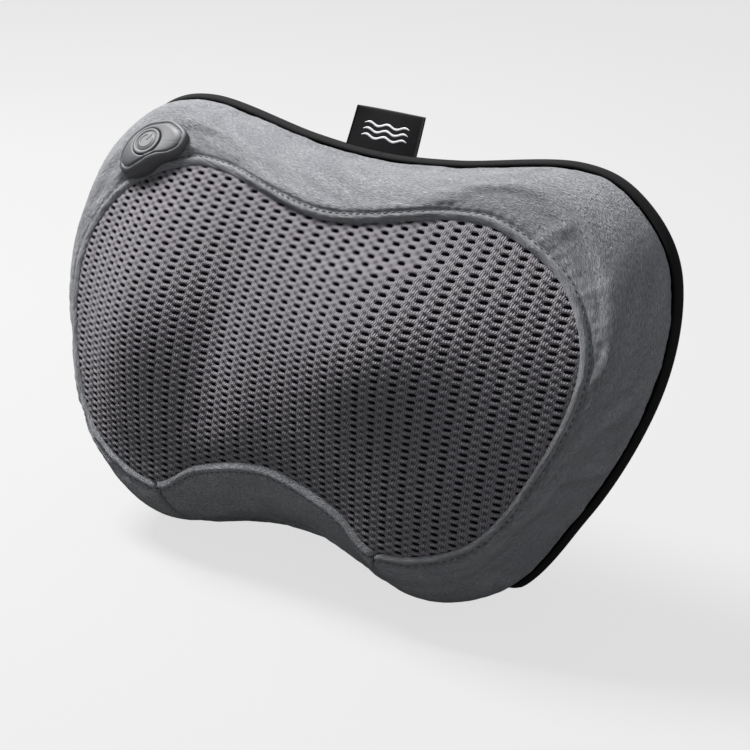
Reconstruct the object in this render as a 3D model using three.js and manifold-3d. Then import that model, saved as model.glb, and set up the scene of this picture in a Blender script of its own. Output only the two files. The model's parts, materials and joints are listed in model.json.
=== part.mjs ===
// Shiatsu neck massager pillow: a bean-shaped pillow that stands on its two lower lobes and leans
// back. Millimetres, +Z up, front towards -Y. Inside the pillow group a sketch frame is used:
// x along the pillow, y up its back, z out of the back plane towards the user's neck.
import * as THREE from 'three';
import { mergeVertices } from 'three/addons/utils/BufferGeometryUtils.js';
import Module from 'manifold-3d';

const wasm = await Module();
wasm.setup();

// ---------------------------------------------------------------- driving dimensions, in mm
const HALF_WIDTH = 163;          // half the pillow's length, at the rear seam
const SEAM_HEIGHT = 218;         // height of the rear seam outline
const LEAN = 10.4;               // degrees that the pillow leans back
const SETTLE = 6.5;              // how far the lower lobes are pressed flat on the surface
const FRONT_DEPTH = 66;          // depth of the mesh panel's edge plane at the pillow's centre
const DOME = 14;                 // how far the mesh panel crowns above its edge plane
const GUSSET_DEPTH = 14;         // black side strip between the rear seam and the back panel
const BACK_CROWN = 3;            // rounding depth of the back panel
const GAP = 0.4;                 // air between pieces that touch
const COVER_WALL = 3;            // plush cover with its bonded wadding
const FABRIC_WALL = 1.6;         // black rear fabric
const MESH_WALL = 2.4;           // spacer mesh
const LINER_WALL = 1.4;          // black liner under the mesh

const MECHANISM_Y = -3;          // rotor axes below the pillow's centre
const WHEEL_TEETH = 30;
const MODULE = 1.5;
const WORM_RADIUS = 6;           // pitch radius
const WORM_LENGTH = 24;
const TOOTH_LAND = 0.3;          // tooth width as a share of the pitch, which leaves backlash
const WHEEL_FACE = 8;
const SHAFT_RADIUS = 4;
const BUSH_RADIUS = 8;
const MOTOR_RADIUS = 13.5;
const MOTOR_LENGTH = 38;
const MOTOR_SHAFT = 1.6;
const NODE_ORBIT = 30;           // massage node axis from the rotor axis
const NODE_RADIUS = 18;
const SMALL_NODE_RADIUS = 15.5;
const NODE_TOP = 55.5;
const ARM_THICKNESS = 5;
const PIN_RADIUS = 3.5;
const CELL_RADIUS = 9.2;
const CELL_LENGTH = 65;
const LAMP_ROOM = 8;             // half the space left for the heat lamp between the nodes' sweeps

const HOUSING_CORNER = 16;
const HOUSING_WALL = 2.5;
const HOUSING_FLOOR = 2.4;
const HOUSING_ROOM = 5.5;        // round the wheels and the motor, inside the housing
const FOAM_BEHIND = 2.4;         // foam and air between the back panel and the housing
const FRONT_PLATE = 2.6;
const BOSS_RADIUS = 4;           // screw bosses in the housing's corners

const BUTTON_RADIUS = 8.2;
const BUTTON_TRAVEL = 0.8;
const BUTTON_THICKNESS = 2.9;
const BUTTON_PROUD = 0.9;        // of the patch round it
const JACK_BORE = 2.75;
const JACK_INSET = 51;           // from the pillow's left end
const JACK_Y = 18;
const ZIP_LENGTH = 150;
const ZIP_INSET = 51;            // above the pillow's lower edge
const ZIP_EAR = 2.6;             // slider face to the pull tab's pivot
const LUG_X = 2.6;               // the slider's two lugs, each side of the pull tab's neck
const LUG_WIDTH = 1;
const LABEL_WIDTH = 42;
const LABEL_HEIGHT = 22.5;
const LABEL_X = -3;
const LABEL_DEPTH = 4.7;         // behind the rear seam
const LABEL_SHEAR = 4.5;         // its top stands this far to the right of its foot
const LABEL_THICKNESS = 1.4;     // a folded ribbon

// Sizes that follow from the ones above
const WHEEL_RADIUS = WHEEL_TEETH * MODULE / 2;
const ROTOR_SPACING = 2 * (NODE_ORBIT + NODE_RADIUS + LAMP_ROOM);
const INNER_BACK = -GUSSET_DEPTH - BACK_CROWN + FABRIC_WALL;
const HOUSING_BACK = INNER_BACK + FOAM_BEHIND;
const AXIS_DEPTH = HOUSING_BACK + HOUSING_FLOOR + 0.1 + MOTOR_RADIUS;   // worm axis, wheels' mid plane
const HOUSING_RIM = AXIS_DEPTH + MOTOR_RADIUS + 0.5;
const SCREW_INSET = HOUSING_CORNER * 0.62;
const HOUSING_HALF_LENGTH = HOUSING_WALL + HOUSING_ROOM + Math.max(
  ROTOR_SPACING / 2 + WHEEL_RADIUS + MODULE,
  CELL_LENGTH + SCREW_INSET + BOSS_RADIUS - HOUSING_WALL,
);
const HOUSING_HALF_HEIGHT = HOUSING_WALL + HOUSING_ROOM + WHEEL_RADIUS + WORM_RADIUS + MOTOR_RADIUS;
const JACK_X = JACK_INSET - HALF_WIDTH;
const ZIP_Y = ZIP_INSET - SEAM_HEIGHT / 2;

const STATIONS = 54;             // stations round the outline
const ARCH_STATIONS = 12;
const RUNNING = 0.3;             // radial clearance of turning pieces
const FOAM_SLACK = 2.6;          // between the foam and the cover round it

// Right half of each outline, from top centre round to bottom centre, as shares of the half width
// and of the height, so that the outline keeps its shape when a size is changed.
const SEAM_SHAPE = [
  [0, 0.445], [0.264, 0.459], [0.656, 0.505], [0.865, 0.454], [1, 0.307],
  [0.988, 0.055], [0.816, -0.252], [0.54, -0.495], [0, -0.44],
];
const MESH_SHAPE = [
  [0, 0.321], [0.411, 0.376], [0.595, 0.362], [0.791, 0.28], [0.89, 0.128],
  [0.84, -0.073], [0.687, -0.271], [0.423, -0.344], [0.245, -0.271], [0, -0.229],
];
// The arch panel is the stretch of cover between the two lobes: its share of each outline, each way
const ARCH_AT_SEAM = 0.066;
const ARCH_AT_MESH = 0.094;

// ---------------------------------------------------------------- small helpers
const lean = THREE.MathUtils.degToRad(LEAN);
const pillow = new THREE.Group();
const vec = (x, y, z = 0) => new THREE.Vector3(x, y, z);

const looks = {
  plush: { color: 0x85888d, roughness: 0.95, metalness: 0 },
  mesh: { color: 0x57545b, roughness: 0.8, metalness: 0 },
  black_fabric: { color: 0x131315, roughness: 0.9, metalness: 0 },
  foam: { color: 0xc9c6b8, roughness: 1, metalness: 0 },
  rubber: { color: 0x6d7074, roughness: 0.7, metalness: 0 },
  dark_plastic: { color: 0x2a2b2e, roughness: 0.55, metalness: 0 },
  white_plastic: { color: 0xdcdad2, roughness: 0.45, metalness: 0 },
  node_plastic: { color: 0xb9bcc0, roughness: 0.4, metalness: 0 },
  steel: { color: 0xb4b6b8, roughness: 0.3, metalness: 1 },
  brass: { color: 0xb8964f, roughness: 0.35, metalness: 1 },
  red_lens: { color: 0xb02018, roughness: 0.15, metalness: 0 },
  circuit: { color: 0x1f5a36, roughness: 0.5, metalness: 0 },
  cell_sleeve: { color: 0x2d5d9c, roughness: 0.4, metalness: 0 },
};

function place(name, geometry, look, parent = pillow) {
  const mesh = new THREE.Mesh(geometry, new THREE.MeshStandardMaterial(looks[look]));
  mesh.name = name;
  parent.add(mesh);
  return mesh;
}

function welded(geometry) {
  const bare = geometry.clone();
  bare.deleteAttribute('normal');
  bare.deleteAttribute('uv');
  return mergeVertices(bare, 1e-3);
}

function solid(geometry) {
  const bare = welded(geometry);
  const shape = new wasm.Mesh({
    numProp: 3,
    vertProperties: new Float32Array(bare.attributes.position.array),
    triVerts: new Uint32Array(bare.index.array),
  });
  return new wasm.Manifold(shape);
}

function geometryOf(body) {
  const shape = body.getMesh();
  const geometry = new THREE.BufferGeometry();
  geometry.setAttribute('position', new THREE.BufferAttribute(shape.vertProperties, 3));
  geometry.setIndex(new THREE.BufferAttribute(shape.triVerts, 1));
  return geometry;
}

function moved(geometry, x, y, z) {
  return geometry.translate(x, y, z);
}

// A lathe ring or disc round the sketch frame's z axis, from [radius, depth] points
function turned(profile, segments = 24) {
  const points = profile.map(([radius, depth]) => new THREE.Vector2(radius, depth));
  return facingOut(new THREE.LatheGeometry(points, segments).rotateX(Math.PI / 2));
}

function ring(inner, outer, low, high, segments = 24) {
  return turned([[inner, low], [outer, low], [outer, high], [inner, high], [inner, low]], segments);
}

function rod(radius, low, high, segments = 20) {
  return turned([[0, low], [radius, low], [radius, high], [0, high]], segments);
}

function alongX(geometry) {
  return geometry.rotateY(Math.PI / 2);
}

function slab(outline, low, high) {
  const options = { depth: high - low, bevelEnabled: false, curveSegments: 3 };
  return new THREE.ExtrudeGeometry(outline, options).translate(0, 0, low);
}

function roundedOutline(halfLength, halfHeight, corner, x = 0, y = 0) {
  const shape = new THREE.Shape();
  const quarter = Math.PI / 2;
  const centres = [[1, 1, 0], [-1, 1, 1], [-1, -1, 2], [1, -1, 3]];
  for (const [right, top, turns] of centres) {
    const centreX = x + right * (halfLength - corner);
    const centreY = y + top * (halfHeight - corner);
    shape.absarc(centreX, centreY, corner, turns * quarter, (turns + 1) * quarter, false);
  }
  shape.closePath();
  return shape;
}

// ---------------------------------------------------------------- outlines and curved surfaces
function outlineCurve(shape) {
  const half = shape.map(([across, up]) => vec(across * HALF_WIDTH, up * SEAM_HEIGHT));
  const mirrored = half.slice(1, -1).reverse().map((p) => vec(-p.x, p.y));
  return new THREE.CatmullRomCurve3([...half, ...mirrored], true, 'catmullrom', 0.5);
}

const seamCurve = outlineCurve(SEAM_SHAPE);
const meshCurve = outlineCurve(MESH_SHAPE);

function outlinePoint(curve, share) {
  return curve.getPointAt(((share % 1) + 1) % 1);
}

function outlineNormal(curve, share) {
  const step = 1 / 400;
  const ahead = outlinePoint(curve, share + step);
  const along = ahead.sub(outlinePoint(curve, share - step)).normalize();
  return vec(-along.y, along.x);
}

// Depth of the plane that the mesh panel's edge lies in: it falls away towards the top and the ends
function edgeDepth(x, y) {
  const across = x / 100;
  const up = y / 100;
  return FRONT_DEPTH - 5.4 * across * across - 22.4 * up - 11.5 * up * up;
}

// Keeps a point above the surface that the pillow stands on
let floorLevel = -Infinity;
function settle(point, lift = 0) {
  const level = point.y * Math.cos(lean) + point.z * Math.sin(lean);
  const shortfall = floorLevel + lift - level;
  if (shortfall > 0) point.y += shortfall / Math.cos(lean);
  return point;
}

// The plush side wall: a cubic from the rear seam (rise 0) to the mesh edge (rise 1)
function wallPoint(share, rise) {
  const seam = outlinePoint(seamCurve, share);
  const edge = outlinePoint(meshCurve, share);
  const depth = edgeDepth(edge.x, edge.y);
  const start = seam.clone().setZ(0);
  const end = edge.clone().setZ(depth);
  const belly = seam.clone().setZ(depth * 0.8);
  const shoulder = edge.clone().addScaledVector(outlineNormal(meshCurve, share), 6);
  shoulder.setZ(depth * 1.1);
  const curve = new THREE.CubicBezierCurve3(start, belly, shoulder, end);
  return curve.getPoint(rise);
}

function wallNormal(share, rise) {
  const step = 0.004;
  const along = wallPoint(share + step, rise).sub(wallPoint(share - step, rise));
  const low = Math.max(rise - step, 0);
  const high = Math.min(rise + step, 1);
  const up = wallPoint(share, high).sub(wallPoint(share, low));
  return up.cross(along).normalize();
}

function offsetWall(share, rise, offset) {
  return wallPoint(share, rise).addScaledVector(wallNormal(share, rise), offset);
}

// Joins rows of points into a closed skin. Each row is a loop when looped is true.
function skin(rows, looped, closedAcross) {
  const across = rows[0].length;
  const positions = rows.flat().flatMap((p) => [p.x, p.y, p.z]);
  const index = [];
  const rowCount = looped ? rows.length : rows.length - 1;
  const columnCount = closedAcross ? across : across - 1;
  for (let row = 0; row < rowCount; row += 1) {
    const next = (row + 1) % rows.length;
    for (let column = 0; column < columnCount; column += 1) {
      const side = (column + 1) % across;
      const a = row * across + column;
      const b = next * across + column;
      const c = next * across + side;
      const d = row * across + side;
      index.push(a, b, c, a, c, d);
    }
  }
  if (!looped) {
    for (let column = 1; column < across - 1; column += 1) {
      index.push(0, column, column + 1);
      const last = (rows.length - 1) * across;
      index.push(last, last + column + 1, last + column);
    }
  }
  const geometry = new THREE.BufferGeometry();
  geometry.setAttribute('position', new THREE.Float32BufferAttribute(positions, 3));
  geometry.setIndex(index);
  return facingOut(geometry);
}

function facingOut(geometry) {
  const position = geometry.attributes.position;
  const index = geometry.index.array;
  let volume = 0;
  for (let k = 0; k < index.length; k += 3) {
    const a = vec(0, 0).fromBufferAttribute(position, index[k]);
    const b = vec(0, 0).fromBufferAttribute(position, index[k + 1]);
    const c = vec(0, 0).fromBufferAttribute(position, index[k + 2]);
    volume += a.dot(b.cross(c));
  }
  if (volume < 0) index.reverse();
  return geometry;
}

// A stretch of plush wall as one shell; from and to give its ends' shares of the outline
function wallShell(from, to, stations, thickness = COVER_WALL) {
  const rises = [0.006, 0.11, 0.22, 0.4, 0.6, 0.78, 0.9, 1];
  const rows = [];
  for (let station = 0; station < stations; station += 1) {
    const along = station / (stations - 1);
    const at = (rise, drop) => {
      const share = THREE.MathUtils.lerp(from(rise), to(rise), along);
      return settle(offsetWall(share, rise, -drop), drop);
    };
    const outer = rises.map((rise) => at(rise, 0));
    const inner = rises.map((rise) => at(rise, thickness));
    rows.push([...outer, ...inner.reverse()]);
  }
  return skin(rows, false, true);
}

// A domed sheet inside a closed outline: rim(share) gives the rim, surface(point, ring) the depth
function domedSheet(rim, surface, thickness, stations, rings) {
  const centre = vec(0, 0.02 * SEAM_HEIGHT);
  const rows = [];
  for (let station = 0; station < stations; station += 1) {
    const edge = rim(station / stations);
    const at = (share, drop) => {
      const point = centre.clone().lerp(edge, share);
      point.z = surface(point, share) - drop;
      return settle(point, drop + GAP);
    };
    const top = rings.map((share) => at(share, 0));
    const under = rings.map((share) => at(share, thickness));
    rows.push([...top.reverse(), ...under]);
  }
  const middle = centre.clone().setZ(surface(centre, 0));
  const below = middle.clone().setZ(middle.z - thickness);
  return capped(rows, middle, below);
}

// A looped skin whose first and last columns close on two centre points
function capped(rows, first, last) {
  const across = rows[0].length;
  const positions = rows.flat().flatMap((p) => [p.x, p.y, p.z]);
  positions.push(first.x, first.y, first.z, last.x, last.y, last.z);
  const firstIndex = rows.length * across;
  const index = [];
  for (let row = 0; row < rows.length; row += 1) {
    const next = (row + 1) % rows.length;
    for (let column = 0; column < across - 1; column += 1) {
      const a = row * across + column;
      const b = next * across + column;
      index.push(a, b, b + 1, a, b + 1, a + 1);
    }
    index.push(firstIndex, next * across, row * across);
    index.push(firstIndex + 1, row * across + across - 1, next * across + across - 1);
  }
  const geometry = new THREE.BufferGeometry();
  geometry.setAttribute('position', new THREE.Float32BufferAttribute(positions, 3));
  geometry.setIndex(index);
  return facingOut(geometry);
}

// ---------------------------------------------------------------- where the pillow meets the surface
let lowest = Infinity;
for (let station = 0; station < STATIONS; station += 1) {
  for (const rise of [0, 0.2, 0.4, 0.6, 0.8, 1]) {
    const point = wallPoint(station / STATIONS, rise);
    lowest = Math.min(lowest, point.y * Math.cos(lean) + point.z * Math.sin(lean));
  }
}
floorLevel = lowest + SETTLE;

// ---------------------------------------------------------------- fabric covers
const ARCH_SEAM = 0.0012;        // half the seam gap at each end of the arch panel
const archReach = (rise) => THREE.MathUtils.lerp(ARCH_AT_SEAM, ARCH_AT_MESH, rise);

function frontShell(thickness) {
  const afterArch = (rise) => 0.5 + archReach(rise) + ARCH_SEAM;
  const beforeArch = (rise) => 1.5 - archReach(rise) - ARCH_SEAM;
  return wallShell(afterArch, beforeArch, STATIONS, thickness);
}

function archShell(thickness) {
  const archStart = (rise) => 0.5 - archReach(rise) + ARCH_SEAM;
  const archEnd = (rise) => 0.5 + archReach(rise) - ARCH_SEAM;
  return wallShell(archStart, archEnd, ARCH_STATIONS, thickness);
}

function addCovers() {
  const front = frontShell(COVER_WALL);
  const patch = patchFrame();
  const hole = placedAt(patch, rod(SWITCH_HOLE, -COVER_WALL - 6, 6));
  place('front_cover', geometryOf(solid(front).subtract(solid(hole))), 'plush');
  place('arch_panel', archShell(COVER_WALL), 'plush');

  const inset = COVER_WALL + GAP;
  const rim = (clearance) => (share) => {
    const point = outlinePoint(meshCurve, share);
    return point.addScaledVector(outlineNormal(meshCurve, share), -clearance);
  };
  const crown = (point, share) => edgeDepth(point.x, point.y) + DOME * (1 - share ** 3) - 0.6;
  const rings = [1, 0.88, 0.68, 0.42, 0.2];
  place('mesh_panel', domedSheet(rim(inset), crown, MESH_WALL, STATIONS, rings), 'mesh');
  const linerDepth = (point, share) => crown(point, share) - MESH_WALL - GAP;
  const liner = domedSheet(rim(inset + 3), linerDepth, LINER_WALL, STATIONS, [1, 0.7, 0.35]);
  place('inner_liner', liner, 'black_fabric');

  place('side_gusset', gussetShell(), 'black_fabric');
  const jackHole = moved(rod(JACK_BORE + 2.4, -40, 0), JACK_X, JACK_Y, 0);
  const back = solid(backPanel()).subtract(solid(jackHole));
  place('back_panel', geometryOf(back), 'black_fabric');
}

// How far the black strip stands out from the seam, from its front edge (step 0) to its rear one
function gussetBulge(step) {
  return 1.8 * Math.sin(Math.PI * Math.min(step + 0.15, 1)) - 3 * step * step;
}

// The black strip behind the rear seam: a shallow convex band
function gussetShell() {
  const steps = [0, 0.25, 0.5, 0.75, 1];
  const rows = [];
  for (let station = 0; station < STATIONS; station += 1) {
    const share = station / STATIONS;
    const seam = outlinePoint(seamCurve, share);
    const normal = outlineNormal(seamCurve, share);
    const at = (step, offset) => {
      const point = seam.clone().addScaledVector(normal, gussetBulge(step) - offset);
      point.z = -GAP - step * (GUSSET_DEPTH - 2 * GAP);
      return settle(point, offset);
    };
    const outer = steps.map((step) => at(step, 0));
    const inner = steps.map((step) => at(step, FABRIC_WALL));
    rows.push([...outer, ...inner.reverse()]);
  }
  return skin(rows, true, true);
}

// The flat back, turned forward at its rim to meet the gusset
function backPanel() {
  const bend = 9;
  const rows = [];
  const centre = vec(0, 0.02 * SEAM_HEIGHT, -GUSSET_DEPTH - BACK_CROWN);
  for (let station = 0; station < STATIONS; station += 1) {
    const share = station / STATIONS;
    const rimPoint = outlinePoint(seamCurve, share);
    const normal = outlineNormal(seamCurve, share);
    const at = (angle, drop) => {
      const inward = 3.2 + drop + bend * (1 - Math.cos(angle));
      const point = rimPoint.clone().addScaledVector(normal, -inward);
      point.z = -GUSSET_DEPTH - BACK_CROWN * Math.sin(angle) + drop * Math.sin(angle);
      return settle(point, drop);
    };
    const angles = [0, 0.6, 1.15, Math.PI / 2];
    const flat = (ratio, drop) => {
      const edge = at(Math.PI / 2, drop);
      const point = vec(centre.x, centre.y, edge.z).lerp(edge, ratio);
      return point;
    };
    const outer = [...angles.map((angle) => at(angle, 0)), flat(0.5, 0)];
    const inner = [...angles.map((angle) => at(angle, FABRIC_WALL)), flat(0.5, FABRIC_WALL)];
    rows.push([...outer.reverse(), ...inner]);
  }
  const under = centre.clone().setZ(centre.z + FABRIC_WALL);
  return capped(rows, centre, under);
}

// ---------------------------------------------------------------- foam round the mechanism
const CHAMBER_RADIUS = NODE_ORBIT + NODE_RADIUS + 4;

function addFoam() {
  const rises = [0.03, 0.3, 0.55, 0.78, 0.92];
  const rows = [];
  const skinGap = COVER_WALL + FOAM_SLACK;
  const top = (share, ratio) => {
    const centre = vec(0, 0.02 * SEAM_HEIGHT);
    const edge = outlinePoint(meshCurve, share);
    edge.addScaledVector(outlineNormal(meshCurve, share), -COVER_WALL - 7);
    const point = centre.lerp(edge, ratio);
    const crown = DOME * (1 - ratio ** 3) - 0.6;
    const layers = MESH_WALL + LINER_WALL + 3 * GAP;
    point.z = edgeDepth(point.x, point.y) + crown - layers - FOAM_SLACK;
    return settle(point, skinGap);
  };
  const backDepth = INNER_BACK + GAP;
  for (let station = 0; station < STATIONS; station += 1) {
    const share = station / STATIONS;
    const seam = outlinePoint(seamCurve, share);
    const normal = outlineNormal(seamCurve, share);
    const rear = (inward, z) => {
      const point = seam.clone().addScaledVector(normal, -inward);
      return settle(point.setZ(z), skinGap);
    };
    const wall = rises.map((rise) => settle(offsetWall(share, rise, -skinGap), skinGap));
    const behind = [rear(16, backDepth), rear(7, -GUSSET_DEPTH + 1), rear(5, -GUSSET_DEPTH / 2)];
    rows.push([...behind, ...wall, top(share, 0.97), top(share, 0.6)]);
  }
  const last = vec(0, 0.02 * SEAM_HEIGHT);
  last.z = edgeDepth(last.x, last.y) + DOME - MESH_WALL - LINER_WALL - 4;
  const first = vec(0, 0.02 * SEAM_HEIGHT, backDepth);
  const full = solid(capped(rows, first, last));
  const fit = 1;
  const bay = roundedOutline(HOUSING_HALF_LENGTH + fit, HOUSING_HALF_HEIGHT + fit,
    HOUSING_CORNER + fit, 0, MECHANISM_Y);
  const sweep = roundedOutline(ROTOR_SPACING / 2 + CHAMBER_RADIUS, CHAMBER_RADIUS,
    CHAMBER_RADIUS - 0.01, 0, MECHANISM_Y);
  const jackBay = moved(rod(JACK_BORE + 5, -40, JACK_INNER + 1), JACK_X, JACK_Y, 0);
  const switchBay = placedAt(patchFrame(), rod(SWITCH_BAY, -SWITCH_DEPTH - 1, 10));
  const plateTop = HOUSING_RIM + GAP + FRONT_PLATE;
  const shaped = full.subtract(solid(slab(bay, -60, plateTop + 3)))
    .subtract(solid(slab(sweep, plateTop + 1, 200)))
    .subtract(solid(jackBay))
    .subtract(solid(switchBay))
    .subtract(solid(frontShell(COVER_WALL + GAP)))
    .subtract(solid(archShell(COVER_WALL + GAP)));
  place('foam_body', geometryOf(shaped), 'foam');
}

// ---------------------------------------------------------------- housing
const sides = [['left', -1], ['right', 1]];
const rotorX = ROTOR_SPACING / 2;
const wormY = MECHANISM_Y - WHEEL_RADIUS - WORM_RADIUS;
const trayFloor = HOUSING_BACK + HOUSING_FLOOR;
const bracketX = rotorX + WORM_LENGTH / 2 + 6;
const screwX = HOUSING_HALF_LENGTH - SCREW_INSET;
const screwY = HOUSING_HALF_HEIGHT - SCREW_INSET;
const screwPlaces = [[-1, -1], [1, -1], [-1, 1], [1, 1]];
const SCREW_RADIUS = 1.5;

function addHousing() {
  const outline = (inset) => roundedOutline(HOUSING_HALF_LENGTH - inset,
    HOUSING_HALF_HEIGHT - inset, HOUSING_CORNER - inset, 0, MECHANISM_Y);
  let tray = solid(slab(outline(0), HOUSING_BACK, HOUSING_RIM));
  tray = tray.subtract(solid(slab(outline(HOUSING_WALL), trayFloor, HOUSING_RIM + 1)));
  const top = HOUSING_BACK + 1;
  for (const [, side] of sides) {
    const boss = rod(BUSH_RADIUS + 2.2, top, trayFloor + 4.5);
    tray = tray.add(solid(moved(boss, side * rotorX, MECHANISM_Y, 0)));
    const seat = rod(BUSH_RADIUS + RUNNING, trayFloor + 0.3, 40);
    tray = tray.subtract(solid(moved(seat, side * rotorX, MECHANISM_Y, 0)));
    const post = new THREE.BoxGeometry(4, 14, AXIS_DEPTH + 6 - top);
    post.translate(side * bracketX, wormY, (AXIS_DEPTH + 6 + top) / 2);
    tray = tray.add(solid(post));
    const bore = alongX(rod(4.6 + RUNNING, -6, 6)).translate(side * bracketX, wormY, AXIS_DEPTH);
    tray = tray.subtract(solid(bore));
    const rib = new THREE.BoxGeometry(3, 30, AXIS_DEPTH - 4 - top);
    rib.translate(side * MOTOR_LENGTH * 0.32, wormY, (AXIS_DEPTH - 4 + top) / 2);
    tray = tray.add(solid(rib));
  }
  for (const [right, up] of screwPlaces) {
    const boss = rod(BOSS_RADIUS, top, HOUSING_RIM - 2);
    tray = tray.add(solid(moved(boss, right * screwX, MECHANISM_Y + up * screwY, 0)));
    const hole = rod(SCREW_RADIUS + RUNNING, HOUSING_RIM - 14, 60, 12);
    tray = tray.subtract(solid(moved(hole, right * screwX, MECHANISM_Y + up * screwY, 0)));
  }
  const cradle = alongX(rod(MOTOR_RADIUS + RUNNING, -MOTOR_LENGTH, MOTOR_LENGTH, 28));
  tray = tray.subtract(solid(cradle.translate(0, wormY, AXIS_DEPTH)));
  place('rear_housing', geometryOf(tray), 'dark_plastic');

  const low = HOUSING_RIM + GAP;
  const high = low + FRONT_PLATE;
  let plate = solid(slab(outline(0), low, high));
  const lip = HOUSING_WALL + RUNNING;
  const skirt = solid(slab(outline(lip), low - 4, low + 1))
    .subtract(solid(slab(outline(lip + 2), low - 5, low + 2)));
  plate = plate.add(skirt);
  for (const [, side] of sides) {
    const collar = rod(BUSH_RADIUS + 2.4, low - 3, high);
    plate = plate.add(solid(moved(collar, side * rotorX, MECHANISM_Y, 0)));
    const hole = rod(BUSH_RADIUS + RUNNING, low - 10, high + 5);
    plate = plate.subtract(solid(moved(hole, side * rotorX, MECHANISM_Y, 0)));
  }
  for (const [right, up] of screwPlaces) {
    const x = right * screwX;
    const y = MECHANISM_Y + up * screwY;
    const clear = rod(5, low - 10, low - RUNNING);
    plate = plate.subtract(solid(moved(clear, x, y, 0)));
    plate = plate.subtract(solid(moved(rod(SCREW_RADIUS + RUNNING, 0, 60, 12), x, y, 0)));
  }
  place('front_housing', geometryOf(plate), 'dark_plastic');

  screwPlaces.forEach(([right, up], number) => {
    const head = high + RUNNING;
    const profile = [[0, head - 14], [SCREW_RADIUS, head - 13], [SCREW_RADIUS, head],
      [3.2, head], [3.2, head + 0.9], [2.2, head + 1.9], [0, head + 2.1]];
    const screw = moved(turned(profile, 12), right * screwX, MECHANISM_Y + up * screwY, 0);
    place(`housing_screw_${number + 1}`, screw, 'steel');
  });
}

// ---------------------------------------------------------------- motor, worms and wheels
function wormGeometry(hand) {
  const pitch = Math.PI * MODULE;
  const turns = WORM_LENGTH / pitch - 1;
  const steps = Math.round(turns * 8);
  const root = WORM_RADIUS - MODULE * 1.1;
  const crest = WORM_RADIUS + MODULE * 0.9;
  const land = TOOTH_LAND * pitch / 2;
  const flank = MODULE * 0.3;
  const rows = [];
  for (let step = 0; step <= steps; step += 1) {
    const turn = (step / steps - 0.5) * turns;
    const angle = hand * turn * 2 * Math.PI + Math.PI / 2;
    const along = turn * pitch;
    const at = (radius, shift) => vec(Math.cos(angle) * radius, Math.sin(angle) * radius,
      along + shift);
    rows.push([at(root - 0.6, -land - flank), at(crest, -land + flank / 2),
      at(crest, land - flank / 2), at(root - 0.6, land + flank)]);
  }
  const thread = solid(skin(rows, false, true));
  const core = solid(rod(root, -WORM_LENGTH / 2, WORM_LENGTH / 2, 24));
  const bore = solid(rod(MOTOR_SHAFT + RUNNING, -WORM_LENGTH, WORM_LENGTH, 16));
  return geometryOf(core.add(thread).subtract(bore));
}

function wheelGeometry() {
  const outline = new THREE.Shape();
  const root = WHEEL_RADIUS - MODULE * 1.1;
  const crest = WHEEL_RADIUS + MODULE * 0.8;
  const pitchAngle = 2 * Math.PI / WHEEL_TEETH;
  for (let tooth = 0; tooth < WHEEL_TEETH; tooth += 1) {
    const middle = -Math.PI / 2 + (tooth + 0.5) * pitchAngle;
    const corners = [[root, -TOOTH_LAND * 0.62], [crest, -TOOTH_LAND * 0.34],
      [crest, TOOTH_LAND * 0.34], [root, TOOTH_LAND * 0.62]];
    for (const [radius, share] of corners) {
      const angle = middle + share * pitchAngle;
      const x = Math.cos(angle) * radius;
      const y = Math.sin(angle) * radius;
      if (tooth === 0 && share === -TOOTH_LAND * 0.62) outline.moveTo(x, y);
      else outline.lineTo(x, y);
    }
  }
  outline.closePath();
  let wheel = solid(slab(outline, -WHEEL_FACE / 2, WHEEL_FACE / 2));
  wheel = wheel.add(solid(rod(BUSH_RADIUS, -WHEEL_FACE / 2, WHEEL_FACE / 2 + 3)));
  const recess = solid(ring(BUSH_RADIUS + 2, root - 4, WHEEL_FACE / 2 - 2, WHEEL_FACE));
  const under = solid(ring(BUSH_RADIUS + 2, root - 4, -WHEEL_FACE, -WHEEL_FACE / 2 + 2));
  wheel = wheel.subtract(recess).subtract(under);
  return geometryOf(wheel.subtract(solid(rod(SHAFT_RADIUS + RUNNING, -20, 20))));
}

function addDrive() {
  const half = MOTOR_LENGTH / 2;
  const nose = 5;
  const profile = [[MOTOR_SHAFT + RUNNING, -half - 2], [nose, -half - 2], [nose, -half],
    [MOTOR_RADIUS - 1, -half], [MOTOR_RADIUS, -half + 1], [MOTOR_RADIUS, half - 1],
    [MOTOR_RADIUS - 1, half], [nose, half], [nose, half + 2], [MOTOR_SHAFT + RUNNING, half + 2],
    [MOTOR_SHAFT + RUNNING, -half - 2]];
  const can = alongX(turned(profile, 28));
  place('motor_can', can.translate(0, wormY, AXIS_DEPTH), 'steel');
  const shaftHalf = bracketX + 4;
  const shaft = alongX(rod(MOTOR_SHAFT, -shaftHalf, shaftHalf, 16));
  place('motor_shaft', shaft.translate(0, wormY, AXIS_DEPTH), 'steel');
  for (const [name, side] of sides) {
    const worm = alongX(wormGeometry(side)).translate(side * rotorX, wormY, AXIS_DEPTH);
    place(`worm_${name}`, worm, 'brass');
    const end = alongX(ring(MOTOR_SHAFT + RUNNING, 4.6, -1.9, 1.9, 20));
    place(`worm_bush_${name}`, end.translate(side * bracketX, wormY, AXIS_DEPTH), 'brass');
    const wheel = wheelGeometry().translate(side * rotorX, MECHANISM_Y, AXIS_DEPTH);
    place(`worm_wheel_${name}`, wheel, 'white_plastic');
  }
}

// ---------------------------------------------------------------- rotors and massage nodes
const plateTop = HOUSING_RIM + GAP + FRONT_PLATE;
const armLow = plateTop + 2.4;
const armHigh = armLow + ARM_THICKNESS;
const nodeLow = armHigh + 1;
// Each rotor carries a large node outwards and a small one inwards, on a line tilted by this angle
const ARM_ANGLE = 35;

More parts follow.
